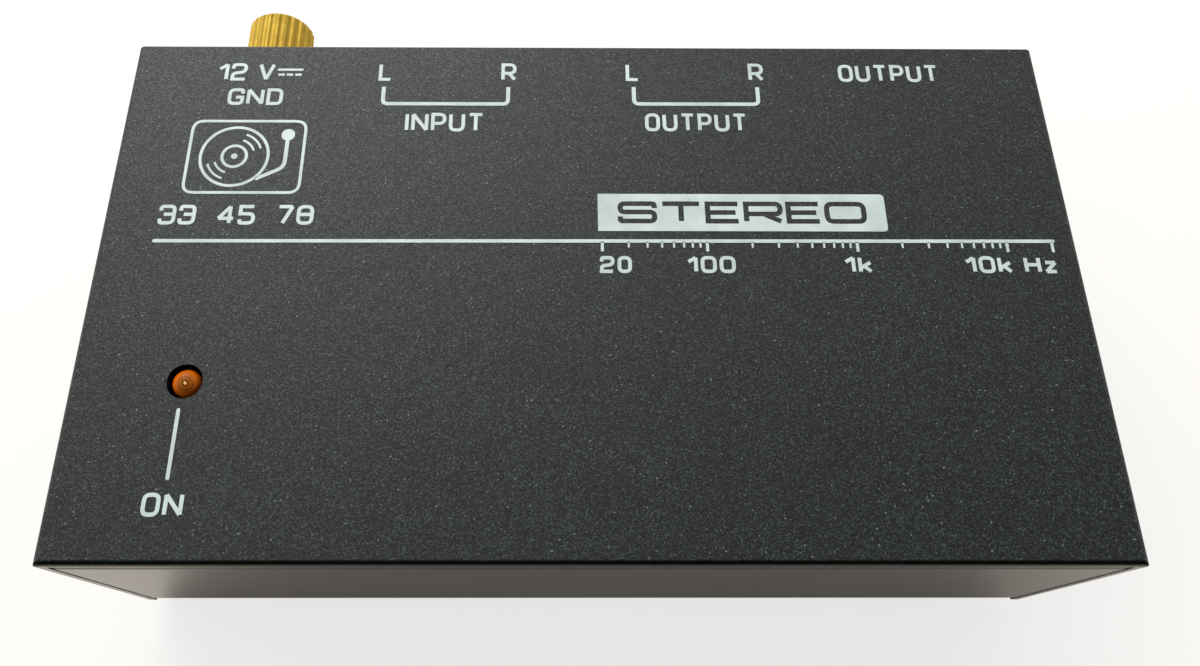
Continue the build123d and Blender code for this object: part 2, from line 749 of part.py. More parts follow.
phone_bushing.part.label = "phone_socket_bushing"
export_step(phone_bushing.part, "parts/phone_socket_bushing.step")

with BuildPart() as phone_washer:
    with BuildSketch(facing_back(phone_x, panel_out_y, phone_z)):
        Circle(phone_washer_radius)
        Circle(phone_thread_radius + free, mode=Mode.SUBTRACT)
    extrude(amount=phone_washer_thickness)

phone_washer.part.label = "phone_socket_washer"
export_step(phone_washer.part, "parts/phone_socket_washer.step")

with BuildPart() as phone_nut:
    with BuildSketch(facing_back(phone_x, panel_out_y + phone_washer_thickness, phone_z)):
        RegularPolygon(phone_nut_flats / 2, 6, major_radius=False)
        Circle(phone_thread_radius + slip, mode=Mode.SUBTRACT)
    extrude(amount=phone_nut_thickness)

phone_nut.part.label = "phone_socket_nut"
export_step(phone_nut.part, "parts/phone_socket_nut.step")

leaf_slot_height = leaf_height + 2 * free
with BuildPart() as phone_housing:
    with BuildSketch(Plane.XY.offset(board_z)):
        with Locations((phone_x, (panel_in_y + phone_back_y) / 2)):
            Rectangle(phone_body_width, phone_body_depth)
    extrude(amount=phone_body_height)
    chamfer(phone_housing.edges().filter_by(Axis.Y).group_by(Axis.Z)[-1], phone_body_edge)
    with Locations(facing_back(phone_x, panel_in_y, phone_z)):
        Hole(phone_flange_radius + slip, depth=phone_flange_depth + leaf_thickness)
        Hole(phone_inner_radius, depth=phone_body_depth - phone_back_wall)
    with BuildSketch(facing_back(phone_x, panel_in_y - leaf_slot_back, phone_z)):
        Rectangle(2 * leaf_slot_offset, leaf_slot_height)
    extrude(amount=leaf_slot_back - leaf_slot_front, mode=Mode.SUBTRACT)
    with BuildSketch(Plane.XY.offset(board_z)):
        with Locations(*[(phone_x + side * leaf_anchor_offset, leaf_anchor_y) for side in (-1, 1)]):
            Rectangle(leaf_thickness + 2 * free, leaf_leg_width + 2 * free)
    extrude(amount=phone_axis_rise, mode=Mode.SUBTRACT)
    with BuildSketch(Plane.XY.offset(board_z)):
        with Locations((phone_x, phone_tab_y)):
            Rectangle(leaf_height + 2 * free, leaf_thickness + 2 * free)
    extrude(amount=phone_axis_rise, mode=Mode.SUBTRACT)

phone_housing.part.label = "phone_socket_housing"
export_step(phone_housing.part, "parts/phone_socket_housing.step")

leaves = {"tip": (-1, tip_contact_depth), "ring": (1, ring_contact_depth)}
for name, (side, contact_depth) in leaves.items():
    route = [
        (leaf_anchor_offset, leaf_anchor_depth - leaf_leg_width / 2),
        (leaf_anchor_offset, leaf_anchor_depth + leaf_leg_width),
        (leaf_run_offset, leaf_anchor_depth + 2 * leaf_leg_width),
        (leaf_run_offset, contact_depth - leaf_dimple),
        (leaf_contact_offset + leaf_thickness / 2, contact_depth),
        (leaf_run_offset, contact_depth + leaf_dimple),
        (leaf_run_offset, contact_depth + leaf_dimple + leaf_leg_width),
    ]
    with BuildPart() as phone_leaf:
        with BuildSketch(Plane.XY.offset(phone_z - leaf_height / 2)):
            with BuildLine():
                Polyline(*[(phone_x + side * out, panel_in_y - depth) for out, depth in route])
            trace(line_width=leaf_thickness)
        extrude(amount=leaf_height)
        with BuildSketch(Plane.XY.offset(stub_z)):
            with Locations((phone_x + side * leaf_anchor_offset, leaf_anchor_y)):
                Rectangle(leaf_thickness, leaf_leg_width)
        extrude(amount=phone_z - stub_z)
    phone_leaf.part.label = f"phone_socket_{name}_contact"
    export_step(phone_leaf.part, f"parts/phone_socket_{name}_contact.step")

with BuildPart() as phone_sleeve_contact:
    with BuildSketch(facing_back(phone_x, phone_flange_y - leaf_thickness, phone_z)):
        Circle(phone_flange_radius)
        Circle(phone_inner_radius, mode=Mode.SUBTRACT)
    extrude(amount=leaf_thickness)
    with BuildSketch(Plane.XY.offset(stub_z)):
        with Locations((phone_x, phone_tab_y)):
            Rectangle(leaf_height, leaf_thickness)
    extrude(amount=phone_z - phone_inner_radius - leaf_thickness - stub_z)

phone_sleeve_contact.part.label = "phone_socket_sleeve_contact"
export_step(phone_sleeve_contact.part, "parts/phone_socket_sleeve_contact.step")

# DC socket
dc_nose_y = panel_out_y + dc_nose_reach
dc_back_y = panel_in_y - dc_body_depth
dc_bore_end_y = panel_in_y - dc_bore_depth
dc_pin_root_y = (dc_bore_end_y + dc_pin_tail_y) / 2
dc_run_z = dc_z - dc_bore_radius - dc_spring_drop
dc_contact_z = dc_z - dc_bore_radius + dc_spring_bite - dc_spring_thickness / 2
dc_contact_y = panel_in_y - dc_spring_contact_depth

with BuildPart() as dc_housing:
    with BuildSketch(Plane.XY.offset(board_z)):
        with Locations((dc_x, (panel_in_y + dc_back_y) / 2)):
            Rectangle(dc_body_width, dc_body_depth)
    extrude(amount=dc_body_height)
    fillet(dc_housing.edges().filter_by(Axis.Y).group_by(Axis.Z)[-1], dc_edge_round)
    with BuildSketch(facing_back(dc_x, panel_in_y, dc_z)):
        Circle(dc_nose_radius)
    extrude(amount=dc_nose_y - panel_in_y)
    with Locations(facing_back(dc_x, dc_nose_y, dc_z)):
        Hole(dc_bore_radius, depth=dc_nose_y - dc_bore_end_y)
        Hole(dc_pin_radius + slip, depth=dc_nose_y - dc_pin_root_y)
    with BuildSketch(facing_back(dc_x, dc_back_y, dc_z)):
        with Locations((0, dc_axis_rise / 2)):
            Rectangle(dc_pin_tail + 2 * free, dc_axis_rise + dc_pin_tail + 2 * free)
    extrude(amount=dc_pin_root_y - dc_back_y, mode=Mode.SUBTRACT)
    with BuildSketch(Plane.XY.offset(dc_run_z - dc_spring_thickness / 2 - dc_spring_travel)):
        slot_front_y = dc_contact_y + dc_spring_width
        slot_back_y = dc_root_y - dc_spring_thickness
        with Locations((dc_x, (slot_front_y + slot_back_y) / 2)):
            Rectangle(dc_spring_width + 2 * free, slot_front_y - slot_back_y)
    slot_height = dc_spring_travel + dc_spring_drop + dc_spring_thickness + dc_spring_bite
    extrude(amount=slot_height, mode=Mode.SUBTRACT)
    with BuildSketch(Plane.XY.offset(board_z)):
        with Locations((dc_x, dc_root_y)):
            Rectangle(dc_spring_width + 2 * free, dc_spring_thickness + 2 * free)
    extrude(amount=dc_run_z - board_z, mode=Mode.SUBTRACT)

dc_housing.part.label = "dc_socket_housing"
export_step(dc_housing.part, "parts/dc_socket_housing.step")

with BuildPart() as dc_pin:
    with BuildSketch(facing_back(dc_x, dc_pin_root_y, dc_z)):
        Circle(dc_pin_radius)
    extrude(amount=dc_nose_y - dc_pin_recess - dc_pin_root_y)
    fillet(dc_pin.edges().group_by(Axis.Y)[-1], dc_pin_round)
    with BuildSketch(facing_back(dc_x, dc_pin_tail_y - dc_pin_tail / 2, dc_z)):
        Rectangle(dc_pin_tail, dc_pin_tail)
    extrude(amount=dc_pin_root_y - dc_pin_tail_y + dc_pin_tail / 2)
    with BuildSketch(Plane.XY.offset(stub_z)):
        with Locations((dc_x, dc_pin_tail_y)):
            Rectangle(dc_pin_tail, dc_pin_tail)
    extrude(amount=dc_z - stub_z)

dc_pin.part.label = "dc_socket_pin"
export_step(dc_pin.part, "parts/dc_socket_pin.step")

with BuildPart() as dc_spring:
    with BuildSketch(Plane.YZ.offset(dc_x - dc_spring_width / 2)):
        with BuildLine():
            Polyline(
                (dc_root_y, stub_z),
                (dc_root_y, dc_run_z),
                (dc_contact_y - dc_spring_ramp, dc_run_z),
                (dc_contact_y, dc_contact_z),
                (dc_contact_y + dc_spring_tip, dc_run_z),
            )
        trace(line_width=dc_spring_thickness)
    extrude(amount=dc_spring_width)

dc_spring.part.label = "dc_socket_spring"
export_step(dc_spring.part, "parts/dc_socket_spring.step")

# Ground terminal
star_washer_y = panel_in_y - star_washer_thickness
lug_y = star_washer_y - lug_thickness
stud_tip_y = panel_out_y + ground_reach - stud_tip_recess
washer_y = panel_out_y + lock_nut_thickness
thumb_nut_y = panel_out_y + lock_stack

stud_screw = pan_screw(stud_radius, stud_tip_y - lug_y, stud_head_radius, stud_head_height)
with BuildPart() as ground_stud:
    with Locations(Plane((ground_x, lug_y, ground_z), x_dir=(1, 0, 0), z_dir=(0, -1, 0))):
        add(stud_screw)

ground_stud.part.label = "ground_stud"
export_step(ground_stud.part, "parts/ground_stud.step")

with BuildPart() as star_washer:
    with BuildSketch(facing_back(ground_x, star_washer_y, ground_z)):
        Circle(star_washer_radius)
        Circle(stud_radius + free, mode=Mode.SUBTRACT)
        with PolarLocations(star_washer_radius, star_washer_teeth):
            Circle(star_washer_notch, mode=Mode.SUBTRACT)
    extrude(amount=star_washer_thickness)

star_washer.part.label = "ground_star_washer"
export_step(star_washer.part, "parts/ground_star_washer.step")

with BuildPart() as ground_lug:
    with BuildSketch(facing_back(ground_x, lug_y, ground_z)):
        Circle(lug_radius)
        with Locations((lug_tail_length / 2, 0)):
            Rectangle(lug_tail_length, lug_tail_width)
        with Locations((lug_tail_length, 0)):
            Circle(lug_tail_width / 2)
        Circle(stud_radius + free, mode=Mode.SUBTRACT)
        with Locations((lug_tail_length, 0)):
            Circle(ground_lead_radius + lead_play, mode=Mode.SUBTRACT)
    extrude(amount=lug_thickness)

ground_lug.part.label = "ground_lug"
export_step(ground_lug.part, "parts/ground_lug.step")

ground_lead_bend = lead_bend_ratio * ground_lead_radius
with BuildPart() as ground_lead:
    with BuildLine():
        FilletPolyline(
            (ground_lead_x, star_washer_y + star_washer_thickness / 2, ground_z),
            (ground_lead_x, ground_lead_y, ground_z),
            (ground_lead_x, ground_lead_y, stub_z),
            radius=ground_lead_bend,
        )
    with BuildSketch(facing_back(ground_lead_x, star_washer_y + star_washer_thickness / 2, ground_z)):
        Circle(ground_lead_radius)
    sweep()

ground_lead.part.label = "ground_lead"
export_step(ground_lead.part, "parts/ground_lead.step")

with BuildPart() as lock_nut:
    with BuildSketch(facing_back(ground_x, panel_out_y, ground_z)):
        RegularPolygon(lock_nut_flats / 2, 6, major_radius=False)
        Circle(stud_radius + slip, mode=Mode.SUBTRACT)
    extrude(amount=lock_nut_thickness)

lock_nut.part.label = "ground_lock_nut"
export_step(lock_nut.part, "parts/ground_lock_nut.step")

with BuildPart() as clamp_washer:
    with BuildSketch(facing_back(ground_x, washer_y, ground_z)):
        Circle(clamp_washer_radius)
        Circle(thumb_nut_neck_radius + slip, mode=Mode.SUBTRACT)
    extrude(amount=clamp_washer_thickness)
    rims = clamp_washer.edges().filter_by(GeomType.CIRCLE).group_by(Axis.Y)[0]
    chamfer(rims.sort_by(SortBy.RADIUS)[0], thumb_nut_neck_flare)

clamp_washer.part.label = "clamp_washer"
export_step(clamp_washer.part, "parts/clamp_washer.step")

with BuildPart() as thumb_nut:
    with BuildSketch(facing_back(ground_x, thumb_nut_y, ground_z)):
        Circle(thumb_nut_radius)
    extrude(amount=thumb_nut_length)
    rims = thumb_nut.edges().filter_by(GeomType.CIRCLE)
    chamfer(rims, thumb_nut_chamfer)
    with BuildSketch(facing_back(ground_x, thumb_nut_y, ground_z)):
        flute_centre = thumb_nut_radius + thumb_nut_flute_radius - thumb_nut_flute_depth
        with PolarLocations(flute_centre, thumb_nut_flutes):
            Circle(thumb_nut_flute_radius)
    extrude(amount=thumb_nut_length, mode=Mode.SUBTRACT)
    with BuildSketch(facing_back(ground_x, thumb_nut_y, ground_z)):
        Circle(thumb_nut_neck_radius)
    neck_length = clamp_washer_thickness - slip
    extrude(amount=-neck_length)
    with BuildSketch(facing_back(ground_x, thumb_nut_y - neck_length, ground_z)):
        Circle(thumb_nut_neck_radius + thumb_nut_neck_flare - slip)
    extrude(amount=thumb_nut_neck_flare - slip, taper=45)
    with Locations(facing_back(ground_x, thumb_nut_y + thumb_nut_length, ground_z)):
        Hole(stud_radius + slip, depth=2 * thumb_nut_length)

thumb_nut.part.label = "thumb_nut"
export_step(thumb_nut.part, "parts/thumb_nut.step")

# Lamp
lamp_foot_z = top_z - lamp_dome_drop
lamp_base_z = lamp_foot_z - lamp_body_length

with BuildPart() as lamp_lens:
    with BuildSketch(Plane.XZ.offset(-lamp_y)):
        with BuildLine():
            Polyline(
                (lamp_x, lamp_foot_z + lamp_radius),
                (lamp_x, lamp_base_z),
                (lamp_x + lamp_flange_radius, lamp_base_z),
                (lamp_x + lamp_flange_radius, lamp_base_z + lamp_flange_thickness),
                (lamp_x + lamp_radius, lamp_base_z + lamp_flange_thickness),
                (lamp_x + lamp_radius, lamp_foot_z),
            )
            CenterArc((lamp_x, lamp_foot_z), lamp_radius, 0, 90)
        make_face()
    revolve(axis=Axis((lamp_x, lamp_y, 0), (0, 0, 1)))

lamp_lens.part.label = "lamp_lens"
export_step(lamp_lens.part, "parts/lamp_lens.step")

with BuildPart() as lamp_leads:
    with BuildSketch(Plane.XY.offset(stub_z)):
        with Locations(*lamp_legs):
            Rectangle(lamp_lead_size, lamp_lead_size)
    extrude(amount=lamp_base_z - stub_z)

lamp_leads.part.label = "lamp_leads"
export_step(lamp_leads.part, "parts/lamp_leads.step")

with BuildPart() as lamp_spacer:
    with BuildSketch(Plane.XY.offset(board_z)):
        with Locations((lamp_x, lamp_y)):
            Circle(lamp_spacer_radius)
            Circle(lamp_radius + free, mode=Mode.SUBTRACT)
    extrude(amount=lamp_base_z - board_z)

lamp_spacer.part.label = "lamp_spacer"
export_step(lamp_spacer.part, "parts/lamp_spacer.step")

# Amplifier chips
for name, spot in chip_spots.items():
    x, y = on_board(spot)
    with BuildPart() as chip:
        with BuildSketch(Plane.XY.offset(board_z + chip_rise)):
            with Locations((x, y)):
                Rectangle(chip_length, chip_width)
        extrude(amount=chip_height)
        chamfer(chip.edges().group_by(Axis.Z)[-1], chip_edge)
        with BuildSketch(Plane.XY.offset(board_z + chip_rise + chip_height)):
            with Locations((x - chip_length / 2, y)):
                Circle(chip_notch_radius)
        extrude(amount=-chip_notch_depth, mode=Mode.SUBTRACT)
    chip.part.label = f"amplifier_chip_{name}"
    export_step(chip.part, f"parts/amplifier_chip_{name}.step")

    with BuildPart() as chip_leads:
        knee_z = board_z + chip_rise + chip_height / 2
        for step in chip_leg_steps:
            for side in (-1, 1):
                leg_y = y + side * chip_leg_row / 2
                with BuildSketch(Plane.YZ.offset(x + step - chip_leg_width / 2)):
                    with BuildLine():
                        Polyline(
                            (y + side * (chip_width + chip_leg_thickness) / 2, knee_z),
                            (leg_y, knee_z),
                            (leg_y, stub_z),
                        )
                    trace(line_width=chip_leg_thickness)
                extrude(amount=chip_leg_width)
    chip_leads.part.label = f"amplifier_chip_{name}_legs"
    export_step(chip_leads.part, f"parts/amplifier_chip_{name}_legs.step")


# Capacitors
def can_capacitor(radius, height):
    """An upright can standing at the origin, with its leads going down through the board."""
    with BuildPart() as can:
        with BuildSketch():
            Circle(radius)
        extrude(amount=height)
        fillet(can.edges().group_by(Axis.Z)[-1], can_edge_round)
        with BuildSketch(Plane.XZ):
            with Locations((radius, can_groove_rise)):
                Circle(can_groove_radius)
        revolve(axis=Axis.Z, mode=Mode.SUBTRACT)
        score_length = 2 * (radius - can_score_margin)
        with BuildSketch(Plane.XY.offset(height)):
            Rectangle(score_length, can_score_width)
            Rectangle(can_score_width, score_length)
        extrude(amount=-can_score_depth, mode=Mode.SUBTRACT)
        with BuildSketch():
            with GridLocations(2 * radius * can_lead_share, 1, 2, 1):
                Circle(lead_radius)
        extrude(amount=-(board_thickness + lead_stub))
    return can.part


for name, (radius, height, spots) in can_sizes.items():
    can = can_capacitor(radius, height)
    with BuildPart() as cans:
        with Locations(*[(*on_board(spot), board_z) for spot in spots]):
            add(can)
    cans.part.label = name
    export_step(cans.part, f"parts/{name}.step")

with BuildPart() as film_capacitors:
    with BuildSketch(Plane.XY.offset(board_z)):
        with Locations(*[on_board(spot) for spot in film_spots]):
            Rectangle(film_length, film_width)
    extrude(amount=film_height)
    fillet(film_capacitors.edges().group_by(Axis.Z)[-1], film_edge_round)
    with BuildSketch(Plane.XY.offset(board_z)):
        with Locations(*[place for spot in film_spots for place in pair(spot, film_lead_pitch)]):
            Circle(lead_radius)
    extrude(amount=stub_z - board_z)

film_capacitors.part.label = "film_capacitors"
export_step(film_capacitors.part, "parts/film_capacitors.step")


# Resistors and diode
def axial_part(radius, length, waist):
    """A body lying along X over the origin, with its leads bent down through the board."""
    rise = radius + axial_rise
    cap_end = length / 2 - axial_cap_length
    waist_end = cap_end - axial_cap_slope
    down = -(board_thickness + lead_stub)
    with BuildPart() as lying:
        with BuildSketch(Plane.XZ):
            with BuildLine():
                Polyline(
                    (-length / 2, rise),
                    (-length / 2, rise + radius),
                    (-cap_end, rise + radius),
                    (-waist_end, rise + waist),
                    (waist_end, rise + waist),
                    (cap_end, rise + radius),
                    (length / 2, rise + radius),
                    (length / 2, rise),
                    close=True,
                )
            make_face()
        revolve(axis=Axis((0, 0, rise), (1, 0, 0)))
    with BuildPart() as lead:
        with BuildLine():
            FilletPolyline(
                (-axial_lead_pitch / 2, 0, down),
                (-axial_lead_pitch / 2, 0, rise),
                (axial_lead_pitch / 2, 0, rise),
                (axial_lead_pitch / 2, 0, down),
                radius=2 * lead_radius,
            )
        with BuildSketch(Plane.XY.offset(down)):
            with Locations((-axial_lead_pitch / 2, 0)):
                Circle(lead_radius)
        sweep()
    return lying.part + lead.part


resistor = axial_part(resistor_radius, resistor_length, resistor_waist)
with BuildPart() as resistors:
    with Locations(*[(*on_board(spot), board_z) for spot in resistors_across]):
        add(resistor)
    with Locations(
        *[Location((*on_board(spot), board_z), (0, 0, 90)) for spot in resistors_along]
    ):
        add(resistor)

resistors.part.label = "resistors"
export_step(resistors.part, "parts/resistors.step")

diode_body = axial_part(diode_radius, diode_length, diode_radius)
with BuildPart() as diode:
    with Locations((*on_board(diode_spot), board_z)):
        add(diode_body)

diode.part.label = "diode"
export_step(diode.part, "parts/diode.step")

# Choke
with BuildPart() as choke:
    with BuildSketch(Plane.XY.offset(board_z)):
        with Locations(on_board(choke_spot)):
            Circle(choke_radius)
    extrude(amount=choke_height)
    fillet(choke.edges().filter_by(GeomType.CIRCLE), choke_edge_round)
    with BuildSketch(Plane.XY.offset(board_z)):
        with Locations(*pair(choke_spot, choke_lead_pitch)):
            Circle(lead_radius)
    extrude(amount=stub_z - board_z)

choke.part.label = "choke"
export_step(choke.part, "parts/choke.step")

# Regulator
with BuildPart() as regulator:
    with BuildSketch(Plane.XY.offset(board_z + regulator_rise)):
        with Locations((regulator_x, regulator_y)):
            Circle(regulator_radius)
            with Locations((0, -regulator_radius)):
                Rectangle(2 * regulator_radius, regulator_radius, mode=Mode.SUBTRACT)
    extrude(amount=regulator_height)
    with BuildSketch(Plane.XY.offset(stub_z)):
        with Locations(*regulator_legs):
            Rectangle(regulator_leg_size, regulator_leg_size)
    extrude(amount=board_z + regulator_rise - stub_z)

regulator.part.label = "regulator"
export_step(regulator.part, "parts/regulator.step")
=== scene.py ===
import json
import math

import bmesh
import bpy
from mathutils import Matrix, Vector


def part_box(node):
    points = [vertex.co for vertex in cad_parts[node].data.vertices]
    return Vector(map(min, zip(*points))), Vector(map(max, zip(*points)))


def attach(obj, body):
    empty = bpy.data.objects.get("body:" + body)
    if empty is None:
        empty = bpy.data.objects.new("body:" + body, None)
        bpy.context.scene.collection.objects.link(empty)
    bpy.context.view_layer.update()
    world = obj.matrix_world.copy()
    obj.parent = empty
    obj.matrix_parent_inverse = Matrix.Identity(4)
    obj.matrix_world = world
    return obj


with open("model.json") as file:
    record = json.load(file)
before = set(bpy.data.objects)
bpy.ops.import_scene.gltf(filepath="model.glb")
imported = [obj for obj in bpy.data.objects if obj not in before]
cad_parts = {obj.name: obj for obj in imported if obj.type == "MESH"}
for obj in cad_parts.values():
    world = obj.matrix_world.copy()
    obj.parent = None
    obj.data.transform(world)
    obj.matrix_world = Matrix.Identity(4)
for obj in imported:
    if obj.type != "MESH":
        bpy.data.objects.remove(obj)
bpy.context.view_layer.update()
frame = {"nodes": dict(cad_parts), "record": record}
print("frame loaded,", len(frame["nodes"]), "nodes")

mm = 0.001
nodeOf = frame["nodes"]
coverLow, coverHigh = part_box("top_cover")
topZ = coverHigh.z
middleY = (coverLow.y + coverHigh.y) / 2


# camera, floor and light

camera = {
    "place": (-3.305, -46.114, 121.22),  # mm
    "tilt": 22.918,  # degrees back from straight down
    "lean": -0.417,
    "turn": 0.0965,
    "lens": 28.7,
    "sensor": 36,
    "shift": (0.0299, -0.0186),
    "clip": (0.005, 20),  # m
}


def makeCamera():
    data = bpy.data.cameras.new("studioCamera")
    data.lens = camera["lens"]
    data.sensor_width = camera["sensor"]
    data.shift_x, data.shift_y = camera["shift"]
    data.clip_start, data.clip_end = camera["clip"]
    made = bpy.data.objects.new("studioCamera", data)
    turned = Matrix.Rotation(math.radians(camera["turn"]), 4, "Z")
    turned = turned @ Matrix.Rotation(math.radians(camera["tilt"]), 4, "X")
    turned = turned @ Matrix.Rotation(math.radians(camera["lean"]), 4, "Y")
    made.matrix_world = Matrix.Translation(Vector(camera["place"]) * mm) @ turned
    bpy.context.scene.collection.objects.link(made)
    bpy.context.scene.camera = made


studio = {
    "floorSize": 6.0,  # m
    "floorColor": (0.96, 0.88, 0.77),
    "floorGlow": 0.75,  # share of plain white that the floor shows by itself
    "mirroredGlow": 0.04,  # the same share as glossy surfaces see it, so that they mirror the shadow
    "worldLevel": 1.7,
    "cardColor": (0.01, 0.01, 0.01),
}
lamps = {
    # name: (place in m, aimed at in m, size in m, watts)
    "keyLamp": ((-0.27, 0.68, 0.53), (0, 0, 0.02), 0.7, 6.9),
}
darkCards = {
    # name: corners in m; they hold the white studio back from the top and front
    "frontCard": ((-0.7, -0.6, 0.03), (0.9, -0.6, 0.03), (0.9, -0.25, 0.75), (-0.7, -0.25, 0.75)),
    "overheadCard": ((-0.5, -0.25, 0.75), (0.9, -0.25, 0.75), (0.9, 0.35, 0.6), (-0.1, 0.25, 0.63)),
}


def addNode(tree, kind, feeds=None, **settings):
    # feeds: what goes into each input, a value or another node's output
    made = tree.nodes.new("ShaderNode" + kind)
    for name, value in settings.items():
        setattr(made, name, value)
    for name, value in (feeds or {}).items():
        if isinstance(value, bpy.types.NodeSocket):
            tree.links.new(value, made.inputs[name])
        else:
            made.inputs[name].default_value = value
    return made


def compute(tree, operation, *values):
    feeds = dict(enumerate(values))
    return addNode(tree, "Math", feeds, operation=operation).outputs[0]


def stretch(tree, value, low, high, toLow=0.0, toHigh=1.0):
    feeds = {"Value": value, "From Min": low, "From Max": high, "To Min": toLow, "To Max": toHigh}
    return addNode(tree, "MapRange", feeds).outputs[0]


def opaque(color):
    return (*color, 1)


def fromNoise(tree, noise, toLow, toHigh):
    # noise mostly lies between 0.3 and 0.7
    return stretch(tree, noise, 0.3, 0.7, toLow, toHigh)


def makeFloor():
    mesh = bpy.data.meshes.new("floor")
    half = studio["floorSize"] / 2
    corners = [(-half, -half, 0), (half, -half, 0), (half, half, 0), (-half, half, 0)]
    mesh.from_pydata(corners, [], [(0, 1, 2, 3)])
    floor = bpy.data.objects.new("floor", mesh)
    bpy.context.scene.collection.objects.link(floor)
    paper = bpy.data.materials.new("whitePaper")
    paper.use_nodes = True
    tree = paper.node_tree
    tree.nodes.clear()
    matt = addNode(tree, "BsdfDiffuse", {"Color": opaque(studio["floorColor"])})
    glow = addNode(tree, "Emission", {"Strength": 1.0})
    path = addNode(tree, "LightPath")
    straight = compute(tree, "MAXIMUM", path.outputs["Is Camera Ray"], path.outputs["Is Transmission Ray"])
    straight = compute(tree, "MULTIPLY", straight, studio["floorGlow"])
    mirrored = compute(tree, "MULTIPLY", path.outputs["Is Glossy Ray"], studio["mirroredGlow"])
    share = compute(tree, "MAXIMUM", straight, mirrored)
    both = addNode(tree, "MixShader", {0: share, 1: matt.outputs[0], 2: glow.outputs[0]})
    addNode(tree, "OutputMaterial", {"Surface": both.outputs[0]})
    mesh.materials.append(paper)


def makeWorld():
    world = bpy.data.worlds.new("studio")
    bpy.context.scene.world = world
    world.use_nodes = True
    tree = world.node_tree
    tree.nodes.clear()
    path = addNode(tree, "LightPath").outputs
    seen = compute(tree, "MAXIMUM", path["Is Camera Ray"], path["Is Transmission Ray"])
    seen = compute(tree, "MAXIMUM", seen, path["Is Glossy Ray"])
    level = stretch(tree, seen, 0.0, 1.0, studio["worldLevel"], 1.0)
    sky = addNode(tree, "Background", {"Color": (1, 1, 1, 1), "Strength": level})
    addNode(tree, "OutputWorld", {"Surface": sky.outputs[0]})


def makeLamps():
    for name, (place, aim, size, watts) in lamps.items():
        data = bpy.data.lights.new(name, "AREA")
        data.shape = "DISK"
        data.size = size
        data.energy = watts
        lamp = bpy.data.objects.new(name, data)
        lamp.location = place
        lamp.rotation_mode = "QUATERNION"
        lamp.rotation_quaternion = (Vector(aim) - Vector(place)).to_track_quat("-Z", "Y")
        bpy.context.scene.collection.objects.link(lamp)


def makeDarkCards():
    black = bpy.data.materials.new("blackCard")
    black.use_nodes = True
    tree = black.node_tree
    tree.nodes.clear()
    matt = addNode(tree, "BsdfDiffuse", {"Color": opaque(studio["cardColor"])})
    addNode(tree, "OutputMaterial", {"Surface": matt.outputs[0]})
    for name, corners in darkCards.items():
        mesh = bpy.data.meshes.new(name)
        mesh.from_pydata(corners, [], [(0, 1, 2, 3)])
        mesh.materials.append(black)
        card = bpy.data.objects.new(name, mesh)
        card.visible_camera = False
        bpy.context.scene.collection.objects.link(card)


makeCamera()
makeDarkCards()
makeFloor()
makeWorld()
makeLamps()
bpy.context.scene.view_settings.view_transform = "Standard"
print("camera, floor and lamps made")


# finishes


def newGroup(name, takes, gives):
    # takes and gives: (socket name, kind, default) and (socket name, kind)
    group = bpy.data.node_groups.new(name, "ShaderNodeTree")
    for label, kind, default in takes:
        socket = group.interface.new_socket(label, in_out="INPUT", socket_type="NodeSocket" + kind)
        socket.default_value = default
    for label, kind in gives:
        group.interface.new_socket(label, in_out="OUTPUT", socket_type="NodeSocket" + kind)
    start = group.nodes.new("NodeGroupInput")
    end = group.nodes.new("NodeGroupOutput")
    return group, start.outputs, end


def spotInMm(group):
    # the spot on the object, in millimetres
    spot = addNode(group, "TexCoord").outputs["Object"]
    return addNode(group, "VectorMath", {0: spot, "Scale": 1 / mm}, operation="SCALE").outputs[0]


def mixColor(tree, amount, first, second, blend="MIX"):
    made = tree.nodes.new("ShaderNodeMix")
    made.data_type = "RGBA"
    made.blend_type = blend
    for index, value in ((0, amount), (6, first), (7, second)):
        if isinstance(value, bpy.types.NodeSocket):
            tree.links.new(value, made.inputs[index])
        else:
            made.inputs[index].default_value = value
    return made.outputs[2]


def addSpecks(group, spot, cellSize, share, inner, outer):
    # dots in cells of one size, each of its own strength; full within inner and gone at outer
    cells = addNode(group, "TexVoronoi", {"Vector": spot, "Scale": compute(group, "DIVIDE", 1.0, cellSize)})
    near = stretch(group, cells.outputs["Distance"], outer, inner)
    pick = addNode(group, "SeparateColor", {"Color": cells.outputs["Color"]})
    chosen = compute(group, "GREATER_THAN", pick.outputs[0], compute(group, "SUBTRACT", 1.0, share))
    shine = compute(group, "POWER", pick.outputs[1], 1.6)
    return compute(group, "MULTIPLY", compute(group, "MULTIPLY", near, chosen), shine)


